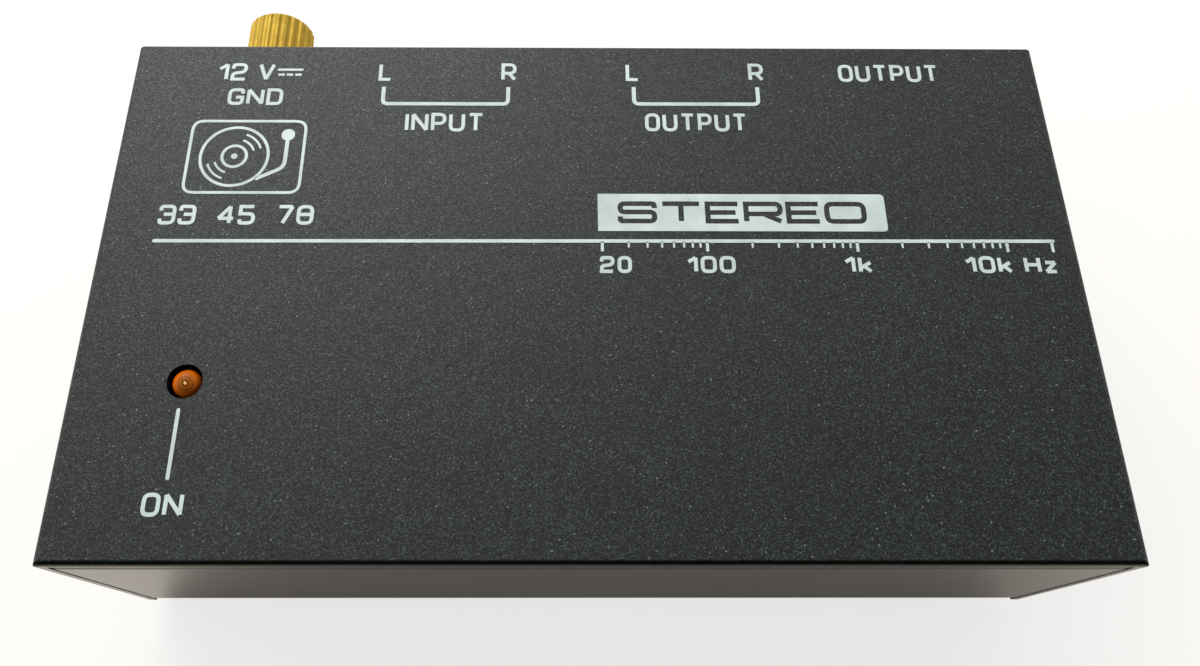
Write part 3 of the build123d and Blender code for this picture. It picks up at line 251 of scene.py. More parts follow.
def makePaintGrain():
    # powder coat: a fine uneven skin, bumped where its grains stand up, with pale specks on those grains
    # that are painted glints
    group, given, end = newGroup(
        "paintGrain",
        [
            ("Paint", "Color", (0.05, 0.05, 0.05, 1)),
            ("Glint", "Color", (0.3, 0.3, 0.3, 1)),
            ("Grain Size", "Float", 0.3),
            ("Speck Size", "Float", 0.35),
            ("Speck Share", "Float", 0.3),
            ("Contrast", "Float", 0.6),
            ("Dullness", "Float", 0.5),
        ],
        [("Color", "Color"), ("Roughness", "Float"), ("Height", "Float")],
    )
    spot = spotInMm(group)
    fineScale = compute(group, "DIVIDE", 1.0, given["Grain Size"])
    fine = addNode(group, "TexNoise", {"Vector": spot, "Scale": fineScale, "Detail": 1.0, "Roughness": 0.6})
    broad = addNode(group, "TexNoise", {"Vector": spot, "Scale": 0.12, "Detail": 3.0})  # clouds of tone
    dense = addSpecks(group, spot, given["Speck Size"], given["Speck Share"], 0.1, 0.32)
    sparseSize = compute(group, "MULTIPLY", given["Speck Size"], 2.1)  # fewer, larger and brighter
    sparse = addSpecks(group, spot, sparseSize, given["Speck Share"], 0.08, 0.21)
    grainAndGlint = compute(group, "MAXIMUM", compute(group, "MULTIPLY", dense, 0.65), sparse)
    lift = fromNoise(group, fine.outputs["Fac"], -1.0, 1.0)
    mottle = compute(group, "POWER", 2.0, compute(group, "MULTIPLY", lift, given["Contrast"]))
    cloud = fromNoise(group, broad.outputs["Fac"], 0.92, 1.08)
    level = compute(group, "MULTIPLY", mottle, cloud)
    toned = addNode(group, "VectorMath", {0: given["Paint"], "Scale": level}, operation="SCALE")
    # the pale specks in the colour are painted glints, mixed in where the grains stand up
    color = mixColor(group, grainAndGlint, toned.outputs[0], given["Glint"])
    uneven = fromNoise(group, fine.outputs["Fac"], 0.07, -0.07)
    rough = compute(group, "ADD", given["Dullness"], uneven)
    rough = compute(group, "SUBTRACT", rough, compute(group, "MULTIPLY", grainAndGlint, 0.15))
    height = compute(group, "ADD", fine.outputs["Fac"], compute(group, "MULTIPLY", grainAndGlint, 0.8))
    group.links.new(color, end.inputs["Color"])
    group.links.new(rough, end.inputs["Roughness"])
    group.links.new(height, end.inputs["Height"])
    return group


def makeSmoothAndShadedEnds():
    # the sheet's cut ends, which face the front and the back: thinly coated, so smoother. All faces toward
    # the front or the back also get a darker colour, which is painted shade
    group, given, end = newGroup(
        "smoothAndShadedEnds",
        [
            ("Color", "Color", (0.05, 0.05, 0.05, 1)),
            ("Roughness", "Float", 0.5),
            ("Height", "Float", 0.5),
            ("End Shade Color", "Color", (0.05, 0.05, 0.05, 1)),
            ("End Roughness", "Float", 0.3),
        ],
        [("Color", "Color"), ("Roughness", "Float"), ("Height", "Float")],
    )
    facing = addNode(group, "TexCoord").outputs["Normal"]
    along = addNode(group, "SeparateXYZ", {0: facing}).outputs["Y"]
    share = stretch(group, compute(group, "ABSOLUTE", along), 0.1, 0.45)
    rest = compute(group, "SUBTRACT", 1.0, share)
    # painted shade: the faces toward the front and back take the darker end colour
    color = mixColor(group, share, given["Color"], given["End Shade Color"])
    smoother = compute(group, "MULTIPLY", given["End Roughness"], share)
    rough = compute(group, "MULTIPLY_ADD", given["Roughness"], rest, smoother)
    group.links.new(color, end.inputs["Color"])
    group.links.new(rough, end.inputs["Roughness"])
    group.links.new(compute(group, "MULTIPLY", given["Height"], rest), end.inputs["Height"])
    return group


def makeEdgeWearAndShade():
    # outer edges in another colour, found from how far the surface turns within the reach: on metal rubbed
    # brighter, which is wear; on the paints darker, which is painted shade along the edges
    group, given, end = newGroup(
        "edgeWearAndShade",
        [
            ("Base", "Color", (0.05, 0.05, 0.05, 1)),
            ("Worn And Shaded", "Color", (0.3, 0.3, 0.3, 1)),
            ("Reach", "Float", 0.0003),
            ("Amount", "Float", 0.5),
        ],
        [("Color", "Color")],
    )
    turned = addNode(group, "Bevel", {"Radius": given["Reach"]}, samples=4)
    flat = addNode(group, "NewGeometry").outputs["Normal"]
    agree = addNode(group, "VectorMath", {0: turned.outputs[0], 1: flat}, operation="DOT_PRODUCT")
    edge = stretch(group, agree.outputs["Value"], 0.98, 0.72)
    spot = spotInMm(group)
    patch = addNode(group, "TexNoise", {"Vector": spot, "Scale": 1.4, "Detail": 4.0})
    broken = stretch(group, patch.outputs["Fac"], 0.42, 0.62)
    mask = compute(group, "MULTIPLY", compute(group, "MULTIPLY", edge, broken), given["Amount"])
    group.links.new(mixColor(group, mask, given["Base"], given["Worn And Shaded"]), end.inputs["Color"])
    return group


def makeMetalGrain():
    # tool and plating marks: fine lines drawn out along one direction
    group, given, end = newGroup(
        "metalGrain",
        [
            ("Metal", "Color", (0.7, 0.7, 0.7, 1)),
            ("Lines", "Vector", (1.0, 1.0, 1.0)),
            ("Shade", "Float", 0.12),
            ("Dullness", "Float", 0.3),
        ],
        [("Color", "Color"), ("Roughness", "Float"), ("Height", "Float")],
    )
    drawn = addNode(group, "VectorMath", {0: spotInMm(group), 1: given["Lines"]}, operation="MULTIPLY")
    marks = {"Vector": drawn.outputs[0], "Scale": 6.0, "Detail": 3.0, "Roughness": 0.65}
    lines = addNode(group, "TexNoise", marks)
    smear = addNode(group, "TexNoise", {"Vector": spotInMm(group), "Scale": 0.5, "Detail": 3.0})
    lift = fromNoise(group, lines.outputs["Fac"], -1.0, 1.0)
    level = compute(group, "MULTIPLY_ADD", lift, given["Shade"], 1.0)
    toned = addNode(group, "VectorMath", {0: given["Metal"], "Scale": level}, operation="SCALE")
    rough = fromNoise(group, smear.outputs["Fac"], -0.05, 0.1)
    rough = compute(group, "ADD", rough, compute(group, "MULTIPLY_ADD", lift, 0.05, given["Dullness"]))
    group.links.new(toned.outputs[0], end.inputs["Color"])
    group.links.new(rough, end.inputs["Roughness"])
    group.links.new(lines.outputs["Fac"], end.inputs["Height"])
    return group


def makeMouldSkin():
    # moulded plastic and rubber: a faint even texture with slow changes of tone
    group, given, end = newGroup(
        "mouldSkin",
        [
            ("Plastic", "Color", (0.03, 0.03, 0.03, 1)),
            ("Grain Size", "Float", 0.2),
            ("Dullness", "Float", 0.4),
        ],
        [("Color", "Color"), ("Roughness", "Float"), ("Height", "Float")],
    )
    spot = spotInMm(group)
    fineScale = compute(group, "DIVIDE", 1.0, given["Grain Size"])
    fine = addNode(group, "TexNoise", {"Vector": spot, "Scale": fineScale, "Detail": 2.0})
    slow = addNode(group, "TexNoise", {"Vector": spot, "Scale": 0.35, "Detail": 2.0})
    level = fromNoise(group, slow.outputs["Fac"], 0.88, 1.12)
    toned = addNode(group, "VectorMath", {0: given["Plastic"], "Scale": level}, operation="SCALE")
    rough = compute(group, "ADD", given["Dullness"], fromNoise(group, fine.outputs["Fac"], -0.05, 0.08))
    group.links.new(toned.outputs[0], end.inputs["Color"])
    group.links.new(rough, end.inputs["Roughness"])
    group.links.new(fine.outputs["Fac"], end.inputs["Height"])
    return group


groups = {
    "paintGrain": makePaintGrain(),
    "smoothAndShadedEnds": makeSmoothAndShadedEnds(),
    "edgeWearAndShade": makeEdgeWearAndShade(),
    "metalGrain": makeMetalGrain(),
    "mouldSkin": makeMouldSkin(),
}


def useGroup(tree, name, feeds):
    made = tree.nodes.new("ShaderNodeGroup")
    made.node_tree = groups[name]
    for label, value in feeds.items():
        if isinstance(value, bpy.types.NodeSocket):
            tree.links.new(value, made.inputs[label])
        else:
            made.inputs[label].default_value = value
    return made.outputs


# dullness below is the roughness that a finish varies around

edgeLook = {
    # wear and painted edge shade: (reach in mm, amount)
    "paint": (0.25, 0.5),
    "metal": (0.15, 0.7),
}
bumpDepth = {"paint": 0.05, "metal": 0.02, "plastic": 0.02}  # mm


def newFinish(name, **plain):
    # plain: values set on the shader's own sockets
    finish = bpy.data.materials.new(name)
    finish.use_nodes = True
    tree = finish.node_tree
    tree.nodes.clear()
    shader = addNode(tree, "BsdfPrincipled")
    for label, value in plain.items():
        shader.inputs[label.replace("_", " ")].default_value = value
    addNode(tree, "OutputMaterial", {"Surface": shader.outputs[0]})
    return finish, tree, shader


def addBump(tree, shader, height, strength, kind):
    feeds = {"Height": height, "Strength": strength, "Distance": bumpDepth[kind] * mm}
    bump = addNode(tree, "Bump", feeds)
    tree.links.new(bump.outputs[0], shader.inputs["Normal"])


# edges in the given colour: brighter wear on metal, and on the paints a darker colour that is painted shade
def addEdgeWearAndShade(tree, shader, color, wornAndShaded, kind):
    reach, amount = edgeLook[kind]
    wear = useGroup(tree, "edgeWearAndShade", {
        "Base": color,
        "Worn And Shaded": opaque(wornAndShaded),
        "Reach": reach * mm,
        "Amount": amount,
    })
    tree.links.new(wear["Color"], shader.inputs["Base Color"])


coverPaintLook = {
    "paint": (0.009, 0.0117, 0.011),
    # painted glints on the grains
    "grainAndGlint": (0.21, 0.24, 0.23),
    # painted shade: the cover's edges darker than its paint
    "wornAndShaded": (0.004, 0.004, 0.004),
    "grainSize": 0.16,
    "speckSize": 0.25,
    "speckShare": 0.33,
    "contrast": 2.4,
    "dullness": 0.56,
    "specular": 0.42,
    "bump": 0.5,
    # painted shade on the faces toward the front and back
    "endShadePaint": (0.003, 0.003, 0.003),
    "endDullness": 0.24,
}
chassisPaintLook = {
    "paint": (0.024, 0.022, 0.02),
    # painted glints on the grains
    "grainAndGlint": (0.16, 0.155, 0.145),
    # painted shade: the chassis edges darker than its paint
    "wornAndShaded": (0.006, 0.006, 0.006),
    "grainSize": 0.2,
    "speckSize": 0.4,
    "speckShare": 0.3,
    "contrast": 0.6,
    "dullness": 0.32,
    "specular": 0.43,
    "bump": 0.12,
    # painted shade, darker and warmer, on the faces toward the front and back
    "endShadePaint": (0.021, 0.019, 0.016),
    "endDullness": 0.23,
}


def paintFinish(name, look):
    finish, tree, shader = newFinish(name, Specular_IOR_Level=look["specular"])
    grain = useGroup(tree, "paintGrain", {
        "Paint": opaque(look["paint"]),
        "Glint": opaque(look["grainAndGlint"]),
        "Grain Size": look["grainSize"],
        "Speck Size": look["speckSize"],
        "Speck Share": look["speckShare"],
        "Contrast": look["contrast"],
        "Dullness": look["dullness"],
    })
    # smoother ends, and painted shade on the faces toward the front and back
    ends = useGroup(tree, "smoothAndShadedEnds", {
        "Color": grain["Color"],
        "Roughness": grain["Roughness"],
        "Height": grain["Height"],
        "End Shade Color": opaque(look["endShadePaint"]),
        "End Roughness": look["endDullness"],
    })
    addEdgeWearAndShade(tree, shader, ends["Color"], look["wornAndShaded"], "paint")
    tree.links.new(ends["Roughness"], shader.inputs["Roughness"])
    addBump(tree, shader, ends["Height"], look["bump"], "paint")
    return finish


def metalFinish(name, color, lines=(1, 1, 1), shade=0.1, dullness=0.3, bump=0.1):
    finish, tree, shader = newFinish(name, Metallic=1.0)
    grain = useGroup(tree, "metalGrain", {
        "Metal": opaque(color),
        "Lines": lines,
        "Shade": shade,
        "Dullness": dullness,
    })
    wornAndShaded = tuple(min(1, c * 1.25) for c in color)  # bare edges are brighter
    addEdgeWearAndShade(tree, shader, grain["Color"], wornAndShaded, "metal")
    tree.links.new(grain["Roughness"], shader.inputs["Roughness"])
    addBump(tree, shader, grain["Height"], bump, "metal")
    return finish


def plasticFinish(name, color, dullness=0.4, grainSize=0.2, bump=0.15):
    finish, tree, shader = newFinish(name)
    skin = useGroup(tree, "mouldSkin", {
        "Plastic": opaque(color),
        "Grain Size": grainSize,
        "Dullness": dullness,
    })
    tree.links.new(skin["Color"], shader.inputs["Base Color"])
    tree.links.new(skin["Roughness"], shader.inputs["Roughness"])
    addBump(tree, shader, skin["Height"], bump, "plastic")
    return finish


amberLook = {
    "chipOffset": (0.2, -0.3, 0),  # mm, from the lamp's axis to the chip
    # rings around the chip: (radius in mm, colour); the first two make a painted highlight on the chip
    "rings": [
        (0.0, (0.9, 0.55, 0.3)),
        (0.1, (0.7, 0.3, 0.1)),
        (0.18, (0.06, 0.012, 0.002)),
        (0.3, (0.19, 0.055, 0.005)),
        (0.55, (0.3, 0.085, 0.012)),
        (0.62, (0.16, 0.04, 0.002)),
        (0.75, (0.3, 0.075, 0.006)),
        (1.1, (0.42, 0.09, 0.001)),
        (1.5, (0.5, 0.085, 0.0)),
    ],
    "reach": 1.5,  # mm, to the last ring
    "paintedLightGains": (1.7, 0.8),  # of the colour at its front and back: painted light, brighter at the front and darker at the back
    "dullness": 0.22,
    "specular": 0.06,
}


def lensFinish():
    # translucent amber: the chip and its cup show through the dome as rings, with a painted highlight on
    # the chip and the colour painted lighter at the front than at the back
    finish, tree, shader = newFinish("amberLens", Specular_IOR_Level=amberLook["specular"])
    low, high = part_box("lamp_lens")
    chip = (low + high) / 2 / mm + Vector(amberLook["chipOffset"])
    off = addNode(tree, "VectorMath", {0: spotInMm(tree), 1: chip}, operation="SUBTRACT").outputs[0]
    flat = addNode(tree, "VectorMath", {0: off, 1: (1, 1, 0)}, operation="MULTIPLY").outputs[0]
    out = addNode(tree, "VectorMath", {0: flat}, operation="LENGTH").outputs["Value"]
    haze = addNode(tree, "TexNoise", {"Vector": spotInMm(tree), "Scale": 1.6, "Detail": 3.0}).outputs["Fac"]
    out = compute(tree, "ADD", out, fromNoise(tree, haze, -0.06, 0.06))
    ramp = addNode(tree, "ValToRGB", {0: stretch(tree, out, 0.0, amberLook["reach"])})
    stops = ramp.color_ramp.elements
    while len(stops) < len(amberLook["rings"]):
        stops.new(1.0)
    for stop, (radius, color) in zip(stops, amberLook["rings"]):
        stop.position = radius / amberLook["reach"]
        stop.color = opaque(color)
    along = addNode(tree, "SeparateXYZ", {0: off}).outputs["Y"]
    # painted light: the colour brighter at the front than at the back
    paintedLightGain = stretch(tree, along, -1.2, 1.2, *amberLook["paintedLightGains"])
    toned = addNode(tree, "VectorMath", {0: ramp.outputs[0], "Scale": paintedLightGain}, operation="SCALE")
    tree.links.new(toned.outputs[0], shader.inputs["Base Color"])
    rough = fromNoise(tree, haze, -0.06, 0.1)
    tree.links.new(compute(tree, "ADD", rough, amberLook["dullness"]), shader.inputs["Roughness"])
    return finish


finishOf = {
    "cover_paint": paintFinish("coverPaint", coverPaintLook),
    "chassis_paint": paintFinish("chassisPaint", chassisPaintLook),
    "foot_rubber": plasticFinish("footRubber", (0.02, 0.02, 0.02), dullness=0.75, grainSize=0.3, bump=0.4),
    "black_screw": metalFinish("blackScrew", (0.06, 0.06, 0.06), dullness=0.38),
    "zinc_steel": metalFinish("zincSteel", (0.62, 0.62, 0.6), dullness=0.32),
    "board_laminate": plasticFinish("boardLaminate", (0.02, 0.13, 0.05), 0.25, grainSize=0.5, bump=0.1),
    "black_plastic": plasticFinish("blackPlastic", (0.018, 0.018, 0.018), dullness=0.4),
    "nickel_plate": metalFinish("nickelPlate", (0.72, 0.71, 0.68), lines=(1, 0.1, 1), dullness=0.2),
    "spring_metal": metalFinish("springMetal", (0.74, 0.68, 0.5), dullness=0.3),
    "tinned_metal": metalFinish("tinnedMetal", (0.75, 0.75, 0.74), dullness=0.35),
    "lead_insulation": plasticFinish("leadInsulation", (0.015, 0.015, 0.015), dullness=0.35),
    "brass": metalFinish("brassKnurl", (0.47, 0.32, 0.05), lines=(2, 0.3, 2), shade=0.08, dullness=0.62),
    "left_insulator": plasticFinish("whiteInsulator", (0.82, 0.82, 0.8), dullness=0.3),
    "right_insulator": plasticFinish("redInsulator", (0.55, 0.015, 0.012), dullness=0.3),
    "amber_lens": lensFinish(),
    "chip_resin": plasticFinish("chipResin", (0.02, 0.02, 0.021), dullness=0.55),
    "can_sleeve": plasticFinish("canSleeve", (0.03, 0.035, 0.06), dullness=0.3),
    "film_capacitor_skin": plasticFinish("filmCapacitorSkin", (0.4, 0.05, 0.03), dullness=0.35),
    "resistor_lacquer": plasticFinish("resistorLacquer", (0.3, 0.42, 0.55), dullness=0.3),
    "shrink_sleeve": plasticFinish("shrinkSleeve", (0.02, 0.02, 0.02), dullness=0.45),
}
whiteInk = plasticFinish("whiteInk", (0.49, 0.57, 0.555), dullness=0.5, grainSize=0.15, bump=0.3)

for subpart in frame["record"]["subparts"]:
    shown = nodeOf[subpart["node"]]
    if not shown.data.materials:
        shown.data.materials.append(None)
    for slot in shown.material_slots:
        slot.link = "OBJECT"
        slot.material = finishOf[subpart["material_slot"]]
print("finishes made and given to every node")


# white printing on the cover

ink = {
    "thickness": 0.02,
    "sunk": 0.01,
    "stroke": 0.4,
    "letterGap": 0.3,
    "wordGap": 0.1,  # of the height, besides two letter gaps
    "cornerSteps": 5,
    "sharpest": 0.45,  # limits how far a sharp corner reaches out
    "blockReach": 1.0,  # how far blocks that cut the ink reach past it
    "endAngles": (60, 35, 12),  # degrees, the steps of a rounded end
}

# Letters in a box one wide and one high. Each stroke is (closed, points), and a point's third
# number is how round its corner is.
softCorner = 0.25
bowl = [(0, 0), (0, 1), (1, 1, softCorner), (1, 0.42, softCorner), (0, 0.42)]
ring = [(0, 0, softCorner), (0, 1, softCorner), (1, 1, softCorner), (1, 0, softCorner)]
letters = {
    # name: (width over height, strokes)
    "I": (0.0, [(False, [(0.5, 0), (0.5, 1)])]),
    "N": (0.6, [(False, [(0, 0), (0, 1)]), (False, [(0, 1), (1, 0)]), (False, [(1, 0), (1, 1)])]),
    "P": (0.52, [(False, bowl)]),
    "R": (0.52, [(False, bowl), (False, [(0.5, 0.42), (1, 0)])]),
    "U": (0.56, [(False, [(0, 1), (0, 0, softCorner), (1, 0, softCorner), (1, 1)])]),
    "T": (0.56, [(False, [(0, 1), (1, 1)]), (False, [(0.5, 1), (0.5, 0)])]),
    "O": (0.56, [(True, ring)]),
    "L": (0.42, [(False, [(0, 1), (0, 0), (1, 0)])]),
    "D": (0.56, [(True, [(0, 0), (0, 1), (1, 1, softCorner), (1, 0, softCorner)])]),
    "G": (
        0.56,
        [(False, [(1, 0.72), (1, 1, softCorner), (0, 1, softCorner), (0, 0, softCorner)]
          + [(1, 0, softCorner), (1, 0.46), (0.5, 0.46)])],
    ),
    "V": (0.55, [(False, [(0, 1), (0.5, 0)]), (False, [(0.5, 0), (1, 1)])]),
    "E": (0.46, [(False, [(1, 1), (0, 1), (0, 0), (1, 0)]), (False, [(0, 0.5), (0.92, 0.5)])]),
    "S": (
        0.52,
        [(False, [(1, 0.74), (1, 1, softCorner), (0, 1, softCorner), (0, 0.52, softCorner)]
          + [(1, 0.52, softCorner), (1, 0, softCorner), (0, 0, softCorner), (0, 0.26)])],
    ),
    "H": (0.55, [(False, [(0, 0), (0, 1)]), (False, [(1, 0), (1, 1)]), (False, [(0, 0.5), (1, 0.5)])]),
    "z": (0.42, [(False, [(0, 0.66), (1, 0.66)]), (False, [(1, 0.66), (0, 0)]), (False, [(0, 0), (1, 0)])]),
    "k": (
        0.42,
        [(False, [(0, 0), (0, 1)]), (False, [(1, 0.66), (0.05, 0.26)]), (False, [(0.36, 0.4), (1, 0)])],
    ),
    "0": (0.5, [(True, ring)]),
    "1": (0.3, [(False, [(0, 0.7), (1, 1)]), (False, [(1, 1), (1, 0)])]),
    "2": (
        0.52,
        [(False, [(0, 0.72), (0, 1, softCorner), (1, 1, softCorner), (1, 0.5, softCorner)]
          + [(0, 0.4, softCorner), (0, 0), (1, 0)])],
    ),
    "3": (
        0.5,
        [(False, [(0, 0.74), (0, 1, softCorner), (1, 1, softCorner), (1, 0.52), (0.25, 0.52)]),
         (False, [(1, 0.52), (1, 0, softCorner), (0, 0, softCorner), (0, 0.26)])],
    ),
    "4": (
        0.55,
        [(False, [(0.74, 0), (0.74, 1)]), (False, [(0.74, 1), (0, 0.28)]), (False, [(0, 0.28), (1, 0.28)])],
    ),
    "5": (
        0.5,
        [(False, [(0.96, 1), (0, 1), (0, 0.56), (1, 0.56, softCorner), (1, 0, softCorner)]
          + [(0, 0, softCorner), (0, 0.22)])],
    ),
    "7": (0.5, [(False, [(0, 1), (1, 1)]), (False, [(1, 1), (0.35, 0)])]),
    "8": (0.5, [(True, ring), (False, [(0, 0.52), (1, 0.52)])]),
}


def roundCorners(points, closed):
    # each corner with a third number becomes an arc of that radius
    path = []
    count = len(points)
    for i, point in enumerate(points):
        corner = Vector(point[:2])
        ends = not closed and i in (0, count - 1)
        if len(point) < 3 or ends:
            path.append(corner)
            continue
        before = Vector(points[i - 1][:2]) - corner
        after = Vector(points[(i + 1) % count][:2]) - corner
        reach = min(point[2], before.length / 2, after.length / 2)
        start = corner + before.normalized() * reach
        stop = corner + after.normalized() * reach
        steps = ink["cornerSteps"]
        for k in range(steps + 1):
            t = k / steps
            path.append(start * (1 - t) ** 2 + corner * 2 * t * (1 - t) + stop * t ** 2)
    return path


def sideways(path, i, closed):
    # the mitred normal at a point of a path
    count = len(path)
    before = path[i - 1] if closed or i else None
    after = path[(i + 1) % count] if closed or i < count - 1 else None
    turns = []
    for a, b in ((before, path[i]), (path[i], after)):
        if a is not None and b is not None and (b - a).length > 1e-9:
            step = (b - a).normalized()
            turns.append(Vector((-step.y, step.x)))
    if len(turns) == 1:
        return turns[0]
    total = (turns[0] + turns[1]).normalized()
    return total / max(ink["sharpest"], total.dot(turns[0]))


def roundOff(path, halves):
    # extends the start of a path by a half round
    outwards = (path[0] - path[1]).normalized()
    start, half = path[0], halves[0]
    for angle in ink["endAngles"]:
        turn = math.radians(angle)
        path.insert(0, start + outwards * half * math.cos(turn))
        halves.insert(0, half * math.sin(turn))


def addStroke(mesh, points, width, closed=False, roundEnds=False):
    # a flat ribbon of ink along the points, in metres over the cover's top
    path = roundCorners(points, closed)
    halves = [width / 2] * len(path)
    if roundEnds:
        for _ in range(2):
            roundOff(path, halves)
            path.reverse()
            halves.reverse()
    low, high = topZ - ink["sunk"] * mm, topZ + ink["thickness"] * mm
    rings = []
    for i, spot in enumerate(path):
        side = sideways(path, i, closed) * halves[i]
        ring = []
        for flat, z in ((spot + side, low), (spot - side, low), (spot - side, high), (spot + side, high)):
            ring.append(mesh.verts.new((flat.x, flat.y, z)))
        rings.append(ring)
    pairs = list(zip(rings, rings[1:]))
    if closed:
        pairs.append((rings[-1], rings[0]))
    for first, second in pairs:
        for k in range(4):
            mesh.faces.new((first[k], first[(k + 1) % 4], second[(k + 1) % 4], second[k]))
    if not closed:
        mesh.faces.new(rings[0][::-1])
        mesh.faces.new(rings[-1])


def asObject(name, mesh):
    bmesh.ops.recalc_face_normals(mesh, faces=mesh.faces)
    data = bpy.data.meshes.new(name)
    mesh.to_mesh(data)
    mesh.free()
    made = bpy.data.objects.new(name, data)
    bpy.context.scene.collection.objects.link(made)
    return made


def combine(first, second, operation):
    # first keeps the result and second goes
    joining = first.modifiers.new("joining", "BOOLEAN")
    joining.operation = operation
    joining.solver = "EXACT"
    joining.use_self = True
    joining.object = second
    shaped = first.evaluated_get(bpy.context.evaluated_depsgraph_get())
    data = bpy.data.meshes.new_from_object(shaped)
    first.modifiers.clear()
    first.data = data
    bpy.data.objects.remove(second)


def finishPrint(piece):
    piece.data.materials.clear()
    piece.data.materials.append(whiteInk)
    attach(piece, "case")


def addBlock(mesh, left, right, bottom, top, low, high):
    made = bmesh.ops.create_cube(mesh, size=1)["verts"]
    for vert in made:
        vert.co.x = right if vert.co.x > 0 else left
        vert.co.y = top if vert.co.y > 0 else bottom
        vert.co.z = high if vert.co.z > 0 else low


def trim(piece, left, right, bottom, top):
    # joins strokes that cross, and cuts them off level at the edges of a box on the cover
    mesh = bmesh.new()
    low, high = onTop(left, bottom), onTop(right, top)
    reach = ink["blockReach"] * mm
    addBlock(mesh, low.x, high.x, low.y, high.y, topZ - reach, topZ + reach)
    combine(piece, asObject("trimBlock", mesh), "INTERSECT")


def onTop(x, y):
    return Vector((x * mm, y * mm + middleY))


def strokeOnTop(mesh, points, width, closed=False, roundEnds=False):
    placed = []
    for point in points:
        flat = onTop(point[0], point[1])
        placed.append((flat.x, flat.y, point[2] * mm) if len(point) > 2 else (flat.x, flat.y))
    addStroke(mesh, placed, width * mm, closed, roundEnds)


def addWord(mesh, word, left, right, bottom, top, stroke=None):
    # the word fills the box from left to right and bottom to top, in mm from the cover's middle
    stroke = stroke or ink["stroke"]
    height = top - bottom
    widths = [letters[c][0] * height if c != " " else ink["wordGap"] * height for c in word]
    natural = sum(widths) + ink["letterGap"] * (len(word) - 1) + stroke * len(word)
    spare = right - left - natural
    growth = 1 + spare / sum(widths)
    x = left
    for c, width in zip(word, widths):
        width *= growth
        if c != " ":
            for closed, points in letters[c][1]:
                placed = []
                for point in points:
                    px = x + stroke / 2 + point[0] * width
                    py = bottom + stroke / 2 + point[1] * (height - stroke)
                    placed.append((px, py, *[r * height for r in point[2:]]))
                strokeOnTop(mesh, placed, stroke, closed)
        x += width + stroke + ink["letterGap"]


words = {
    # name: (word, left, right, bottom, top)
    "label_volts": ("12 V", -42.32, -35.79, 24.63, 27.04),
    "label_ground": ("GND", -40.74, -34.51, 21.31, 23.56),
    "label_input_l": ("L", -23.88, -22.32, 24.66, 27.1),
    "label_input_r": ("R", -9.83, -8.09, 24.69, 27.14),
    "label_input": ("INPUT", -20.46, -11.64, 17.84, 20.31),
    "label_output_l": ("L", 4.46, 6.02, 24.73, 27.18),
    "label_output_r": ("R", 18.58, 20.32, 24.77, 27.21),
    "label_output": ("OUTPUT", 6.46, 17.94, 17.94, 20.33),
    "label_phones": ("OUTPUT", 28.96, 40.52, 24.71, 27.09),
    "label_on": ("ON", -42.67, -38.71, -24.98, -22.7),
    "disc_speeds": ("33  45  78", -46.1, -29.5, 6.05, 8.45),
    "scale_20": ("20", 1.11, 4.48, 0.42, 2.41),
    "scale_100": ("100", 10.25, 15.41, 0.44, 2.43),
    "scale_1k": ("1k", 26.85, 29.84, 0.46, 2.45),
    "scale_10k": ("10k", 39.6, 44.59, 0.48, 2.47),
    "scale_unit": ("Hz", 45.88, 49.37, 0.49, 2.48),
}
bracketLook = {"line": 0.45, "round": 0.6}
brackets = {
    # name: (left, right, top, bottom), at the middle of the line
    "bracket_input": (-23.17, -8.99, 23.84, 21.54),
    "bracket_output": (5.32, 19.45, 23.91, 21.6),
}
lines = {
    # name: (points, width)
    "volts_line": ([(-35.39, 26.16), (-32.72, 26.16)], 0.3),
    "pointer_line": ([(-40.6, -14.52), (-40.6, -21.3)], 0.38),
    "rule_line": ([(-46.07, 4.11), (49.45, 4.26)], 0.4),
}
voltsDashes = {"left": -35.39, "length": 0.73, "pitch": 0.97, "y": 25.47, "width": 0.3, "count": 3}
turntableMark = {
    "frame": (-44.05, -31.45, 9.98, 19.14),  # left, right, bottom, top
    "frameRound": 1.2,
    "disc": (-38.99, 14.56),
    "rings": (3.72, 1.34),
    "grooves": (2.98, 2.18),
    "grooveArc": (20, 70),  # degrees, and again on the far side
    "spindle": 0.35,
    "arm": [(-33.34, 17.35), (-33.35, 13.18, 0.8), (-36.33, 11.68)],
    "pivot": 0.75,
    "line": 0.33,
    "thinLine": 0.24,
    "armLine": 0.429,
}
stereoBar = {
    "box": (0.99, 32.06, 5.39, 9.92),  # left, right, bottom, top
    "round": 0.5,  # at its right end
    "word": ("STEREO", 3.11, 29.97, 6.3, 9.0),
    "stroke": 0.58,
}
frequencyScale = {
    "left": 1.41,
    "right": 49.28,
    "first": 20,
    "last": 20000,
    "top": 4.12,
    "longTick": (1.15, 0.32),  # length, width
    "shortTick": (0.7, 0.22),
}


def addRing(mesh, centre, radius, width, start=0, stop=360):
    steps = max(8, int((stop - start) / 6))
    full = stop - start == 360
    points = []
    for i in range(steps if full else steps + 1):
        a = math.radians(start + (stop - start) * i / steps)
        points.append((centre[0] + radius * math.cos(a), centre[1] + radius * math.sin(a)))
    strokeOnTop(mesh, points, width, closed=full)


def addPlate(mesh, points):
    # a flat patch of ink inside a closed outline
    spots = [onTop(*spot) for spot in roundCorners(points, True)]
    low, high = topZ - ink["sunk"] * mm, topZ + ink["thickness"] * mm
    rings = [[mesh.verts.new((spot.x, spot.y, z)) for spot in spots] for z in (low, high)]
    mesh.faces.new(rings[0][::-1])
    mesh.faces.new(rings[1])
    for i in range(len(spots)):
        k = (i + 1) % len(spots)
        mesh.faces.new((rings[0][i], rings[0][k], rings[1][k], rings[1][i]))


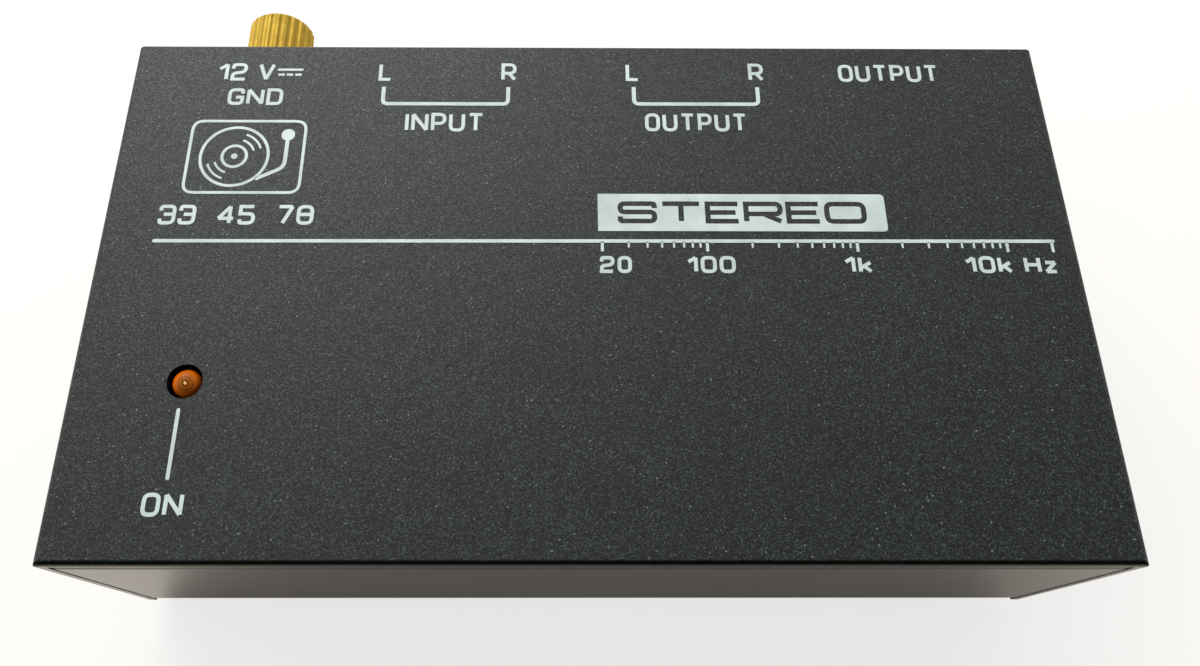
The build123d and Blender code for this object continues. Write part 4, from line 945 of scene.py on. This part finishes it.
def addDot(mesh, centre, radius, steps=32):
    turns = [2 * math.pi * i / steps for i in range(steps)]
    addPlate(mesh, [(centre[0] + radius * math.cos(a), centre[1] + radius * math.sin(a)) for a in turns])


def makeWords():
    for name, (word, left, right, bottom, top) in words.items():
        mesh = bmesh.new()
        addWord(mesh, word, left, right, bottom, top)
        piece = asObject(name, mesh)
        trim(piece, left, right, bottom, top)
        finishPrint(piece)


def makeLines():
    soft = bracketLook["round"]
    for name, (left, right, top, bottom) in brackets.items():
        mesh = bmesh.new()
        corners = [(left, top), (left, bottom, soft), (right, bottom, soft), (right, top)]
        strokeOnTop(mesh, corners, bracketLook["line"])
        finishPrint(asObject(name, mesh))
    for name, (points, width) in lines.items():
        mesh = bmesh.new()
        strokeOnTop(mesh, points, width, roundEnds=True)
        finishPrint(asObject(name, mesh))
    mesh = bmesh.new()
    for i in range(voltsDashes["count"]):
        left = voltsDashes["left"] + i * voltsDashes["pitch"]
        ends = [(left, voltsDashes["y"]), (left + voltsDashes["length"], voltsDashes["y"])]
        strokeOnTop(mesh, ends, voltsDashes["width"])
    finishPrint(asObject("volts_dashes", mesh))


def makeTurntableMark():
    look = turntableMark
    mesh = bmesh.new()
    left, right, bottom, top = look["frame"]
    soft = look["frameRound"]
    corners = [(left, bottom, soft), (left, top, soft), (right, top, soft), (right, bottom, soft)]
    strokeOnTop(mesh, corners, look["line"], closed=True)
    for radius in look["rings"]:
        addRing(mesh, look["disc"], radius, look["line"])
    start, stop = look["grooveArc"]
    for radius in look["grooves"]:
        addRing(mesh, look["disc"], radius, look["thinLine"], start, stop)
        addRing(mesh, look["disc"], radius, look["thinLine"], start + 180, stop + 180)
    addDot(mesh, look["disc"], look["spindle"])
    finishPrint(asObject("turntable_mark", mesh))
    mesh = bmesh.new()
    strokeOnTop(mesh, look["arm"], look["armLine"])
    addDot(mesh, look["arm"][0][:2], look["pivot"])
    piece = asObject("tonearm_mark", mesh)
    trim(piece, left, right, bottom, top)
    finishPrint(piece)


def makeStereoBar():
    left, right, bottom, top = stereoBar["box"]
    soft = stereoBar["round"]
    mesh = bmesh.new()
    addPlate(mesh, [(left, bottom), (right, bottom, soft), (right, top, soft), (left, top)])
    bar = asObject("stereo_bar", mesh)
    mesh = bmesh.new()
    addWord(mesh, *stereoBar["word"], stroke=stereoBar["stroke"])
    reach = ink["blockReach"] / 2 * mm
    for vert in mesh.verts:
        vert.co.z = topZ + (reach if vert.co.z > topZ else -reach)
    word = asObject("barWord", mesh)
    trim(word, *stereoBar["word"][1:])
    combine(bar, word, "DIFFERENCE")
    finishPrint(bar)


def makeFrequencyScale():
    # ticks hang from the rule, spaced as the logarithm of the frequency
    look = frequencyScale
    mesh = bmesh.new()
    decade = 10
    marks = []
    while decade < look["last"]:
        marks += [decade * k for k in range(1, 10) if look["first"] <= decade * k <= look["last"]]
        decade *= 10
    marks.append(look["last"])
    span = math.log10(look["last"] / look["first"])
    for mark in sorted(set(marks)):
        x = look["left"] + (look["right"] - look["left"]) * math.log10(mark / look["first"]) / span
        isLong = mark in (look["first"], look["last"]) or round(math.log10(mark), 6) % 1 == 0
        length, width = look["longTick"] if isLong else look["shortTick"]
        strokeOnTop(mesh, [(x, look["top"]), (x, look["top"] - length)], width)
    finishPrint(asObject("scale_ticks", mesh))


makeWords()
makeLines()
makeTurntableMark()
makeStereoBar()
makeFrequencyScale()
print("printing made")
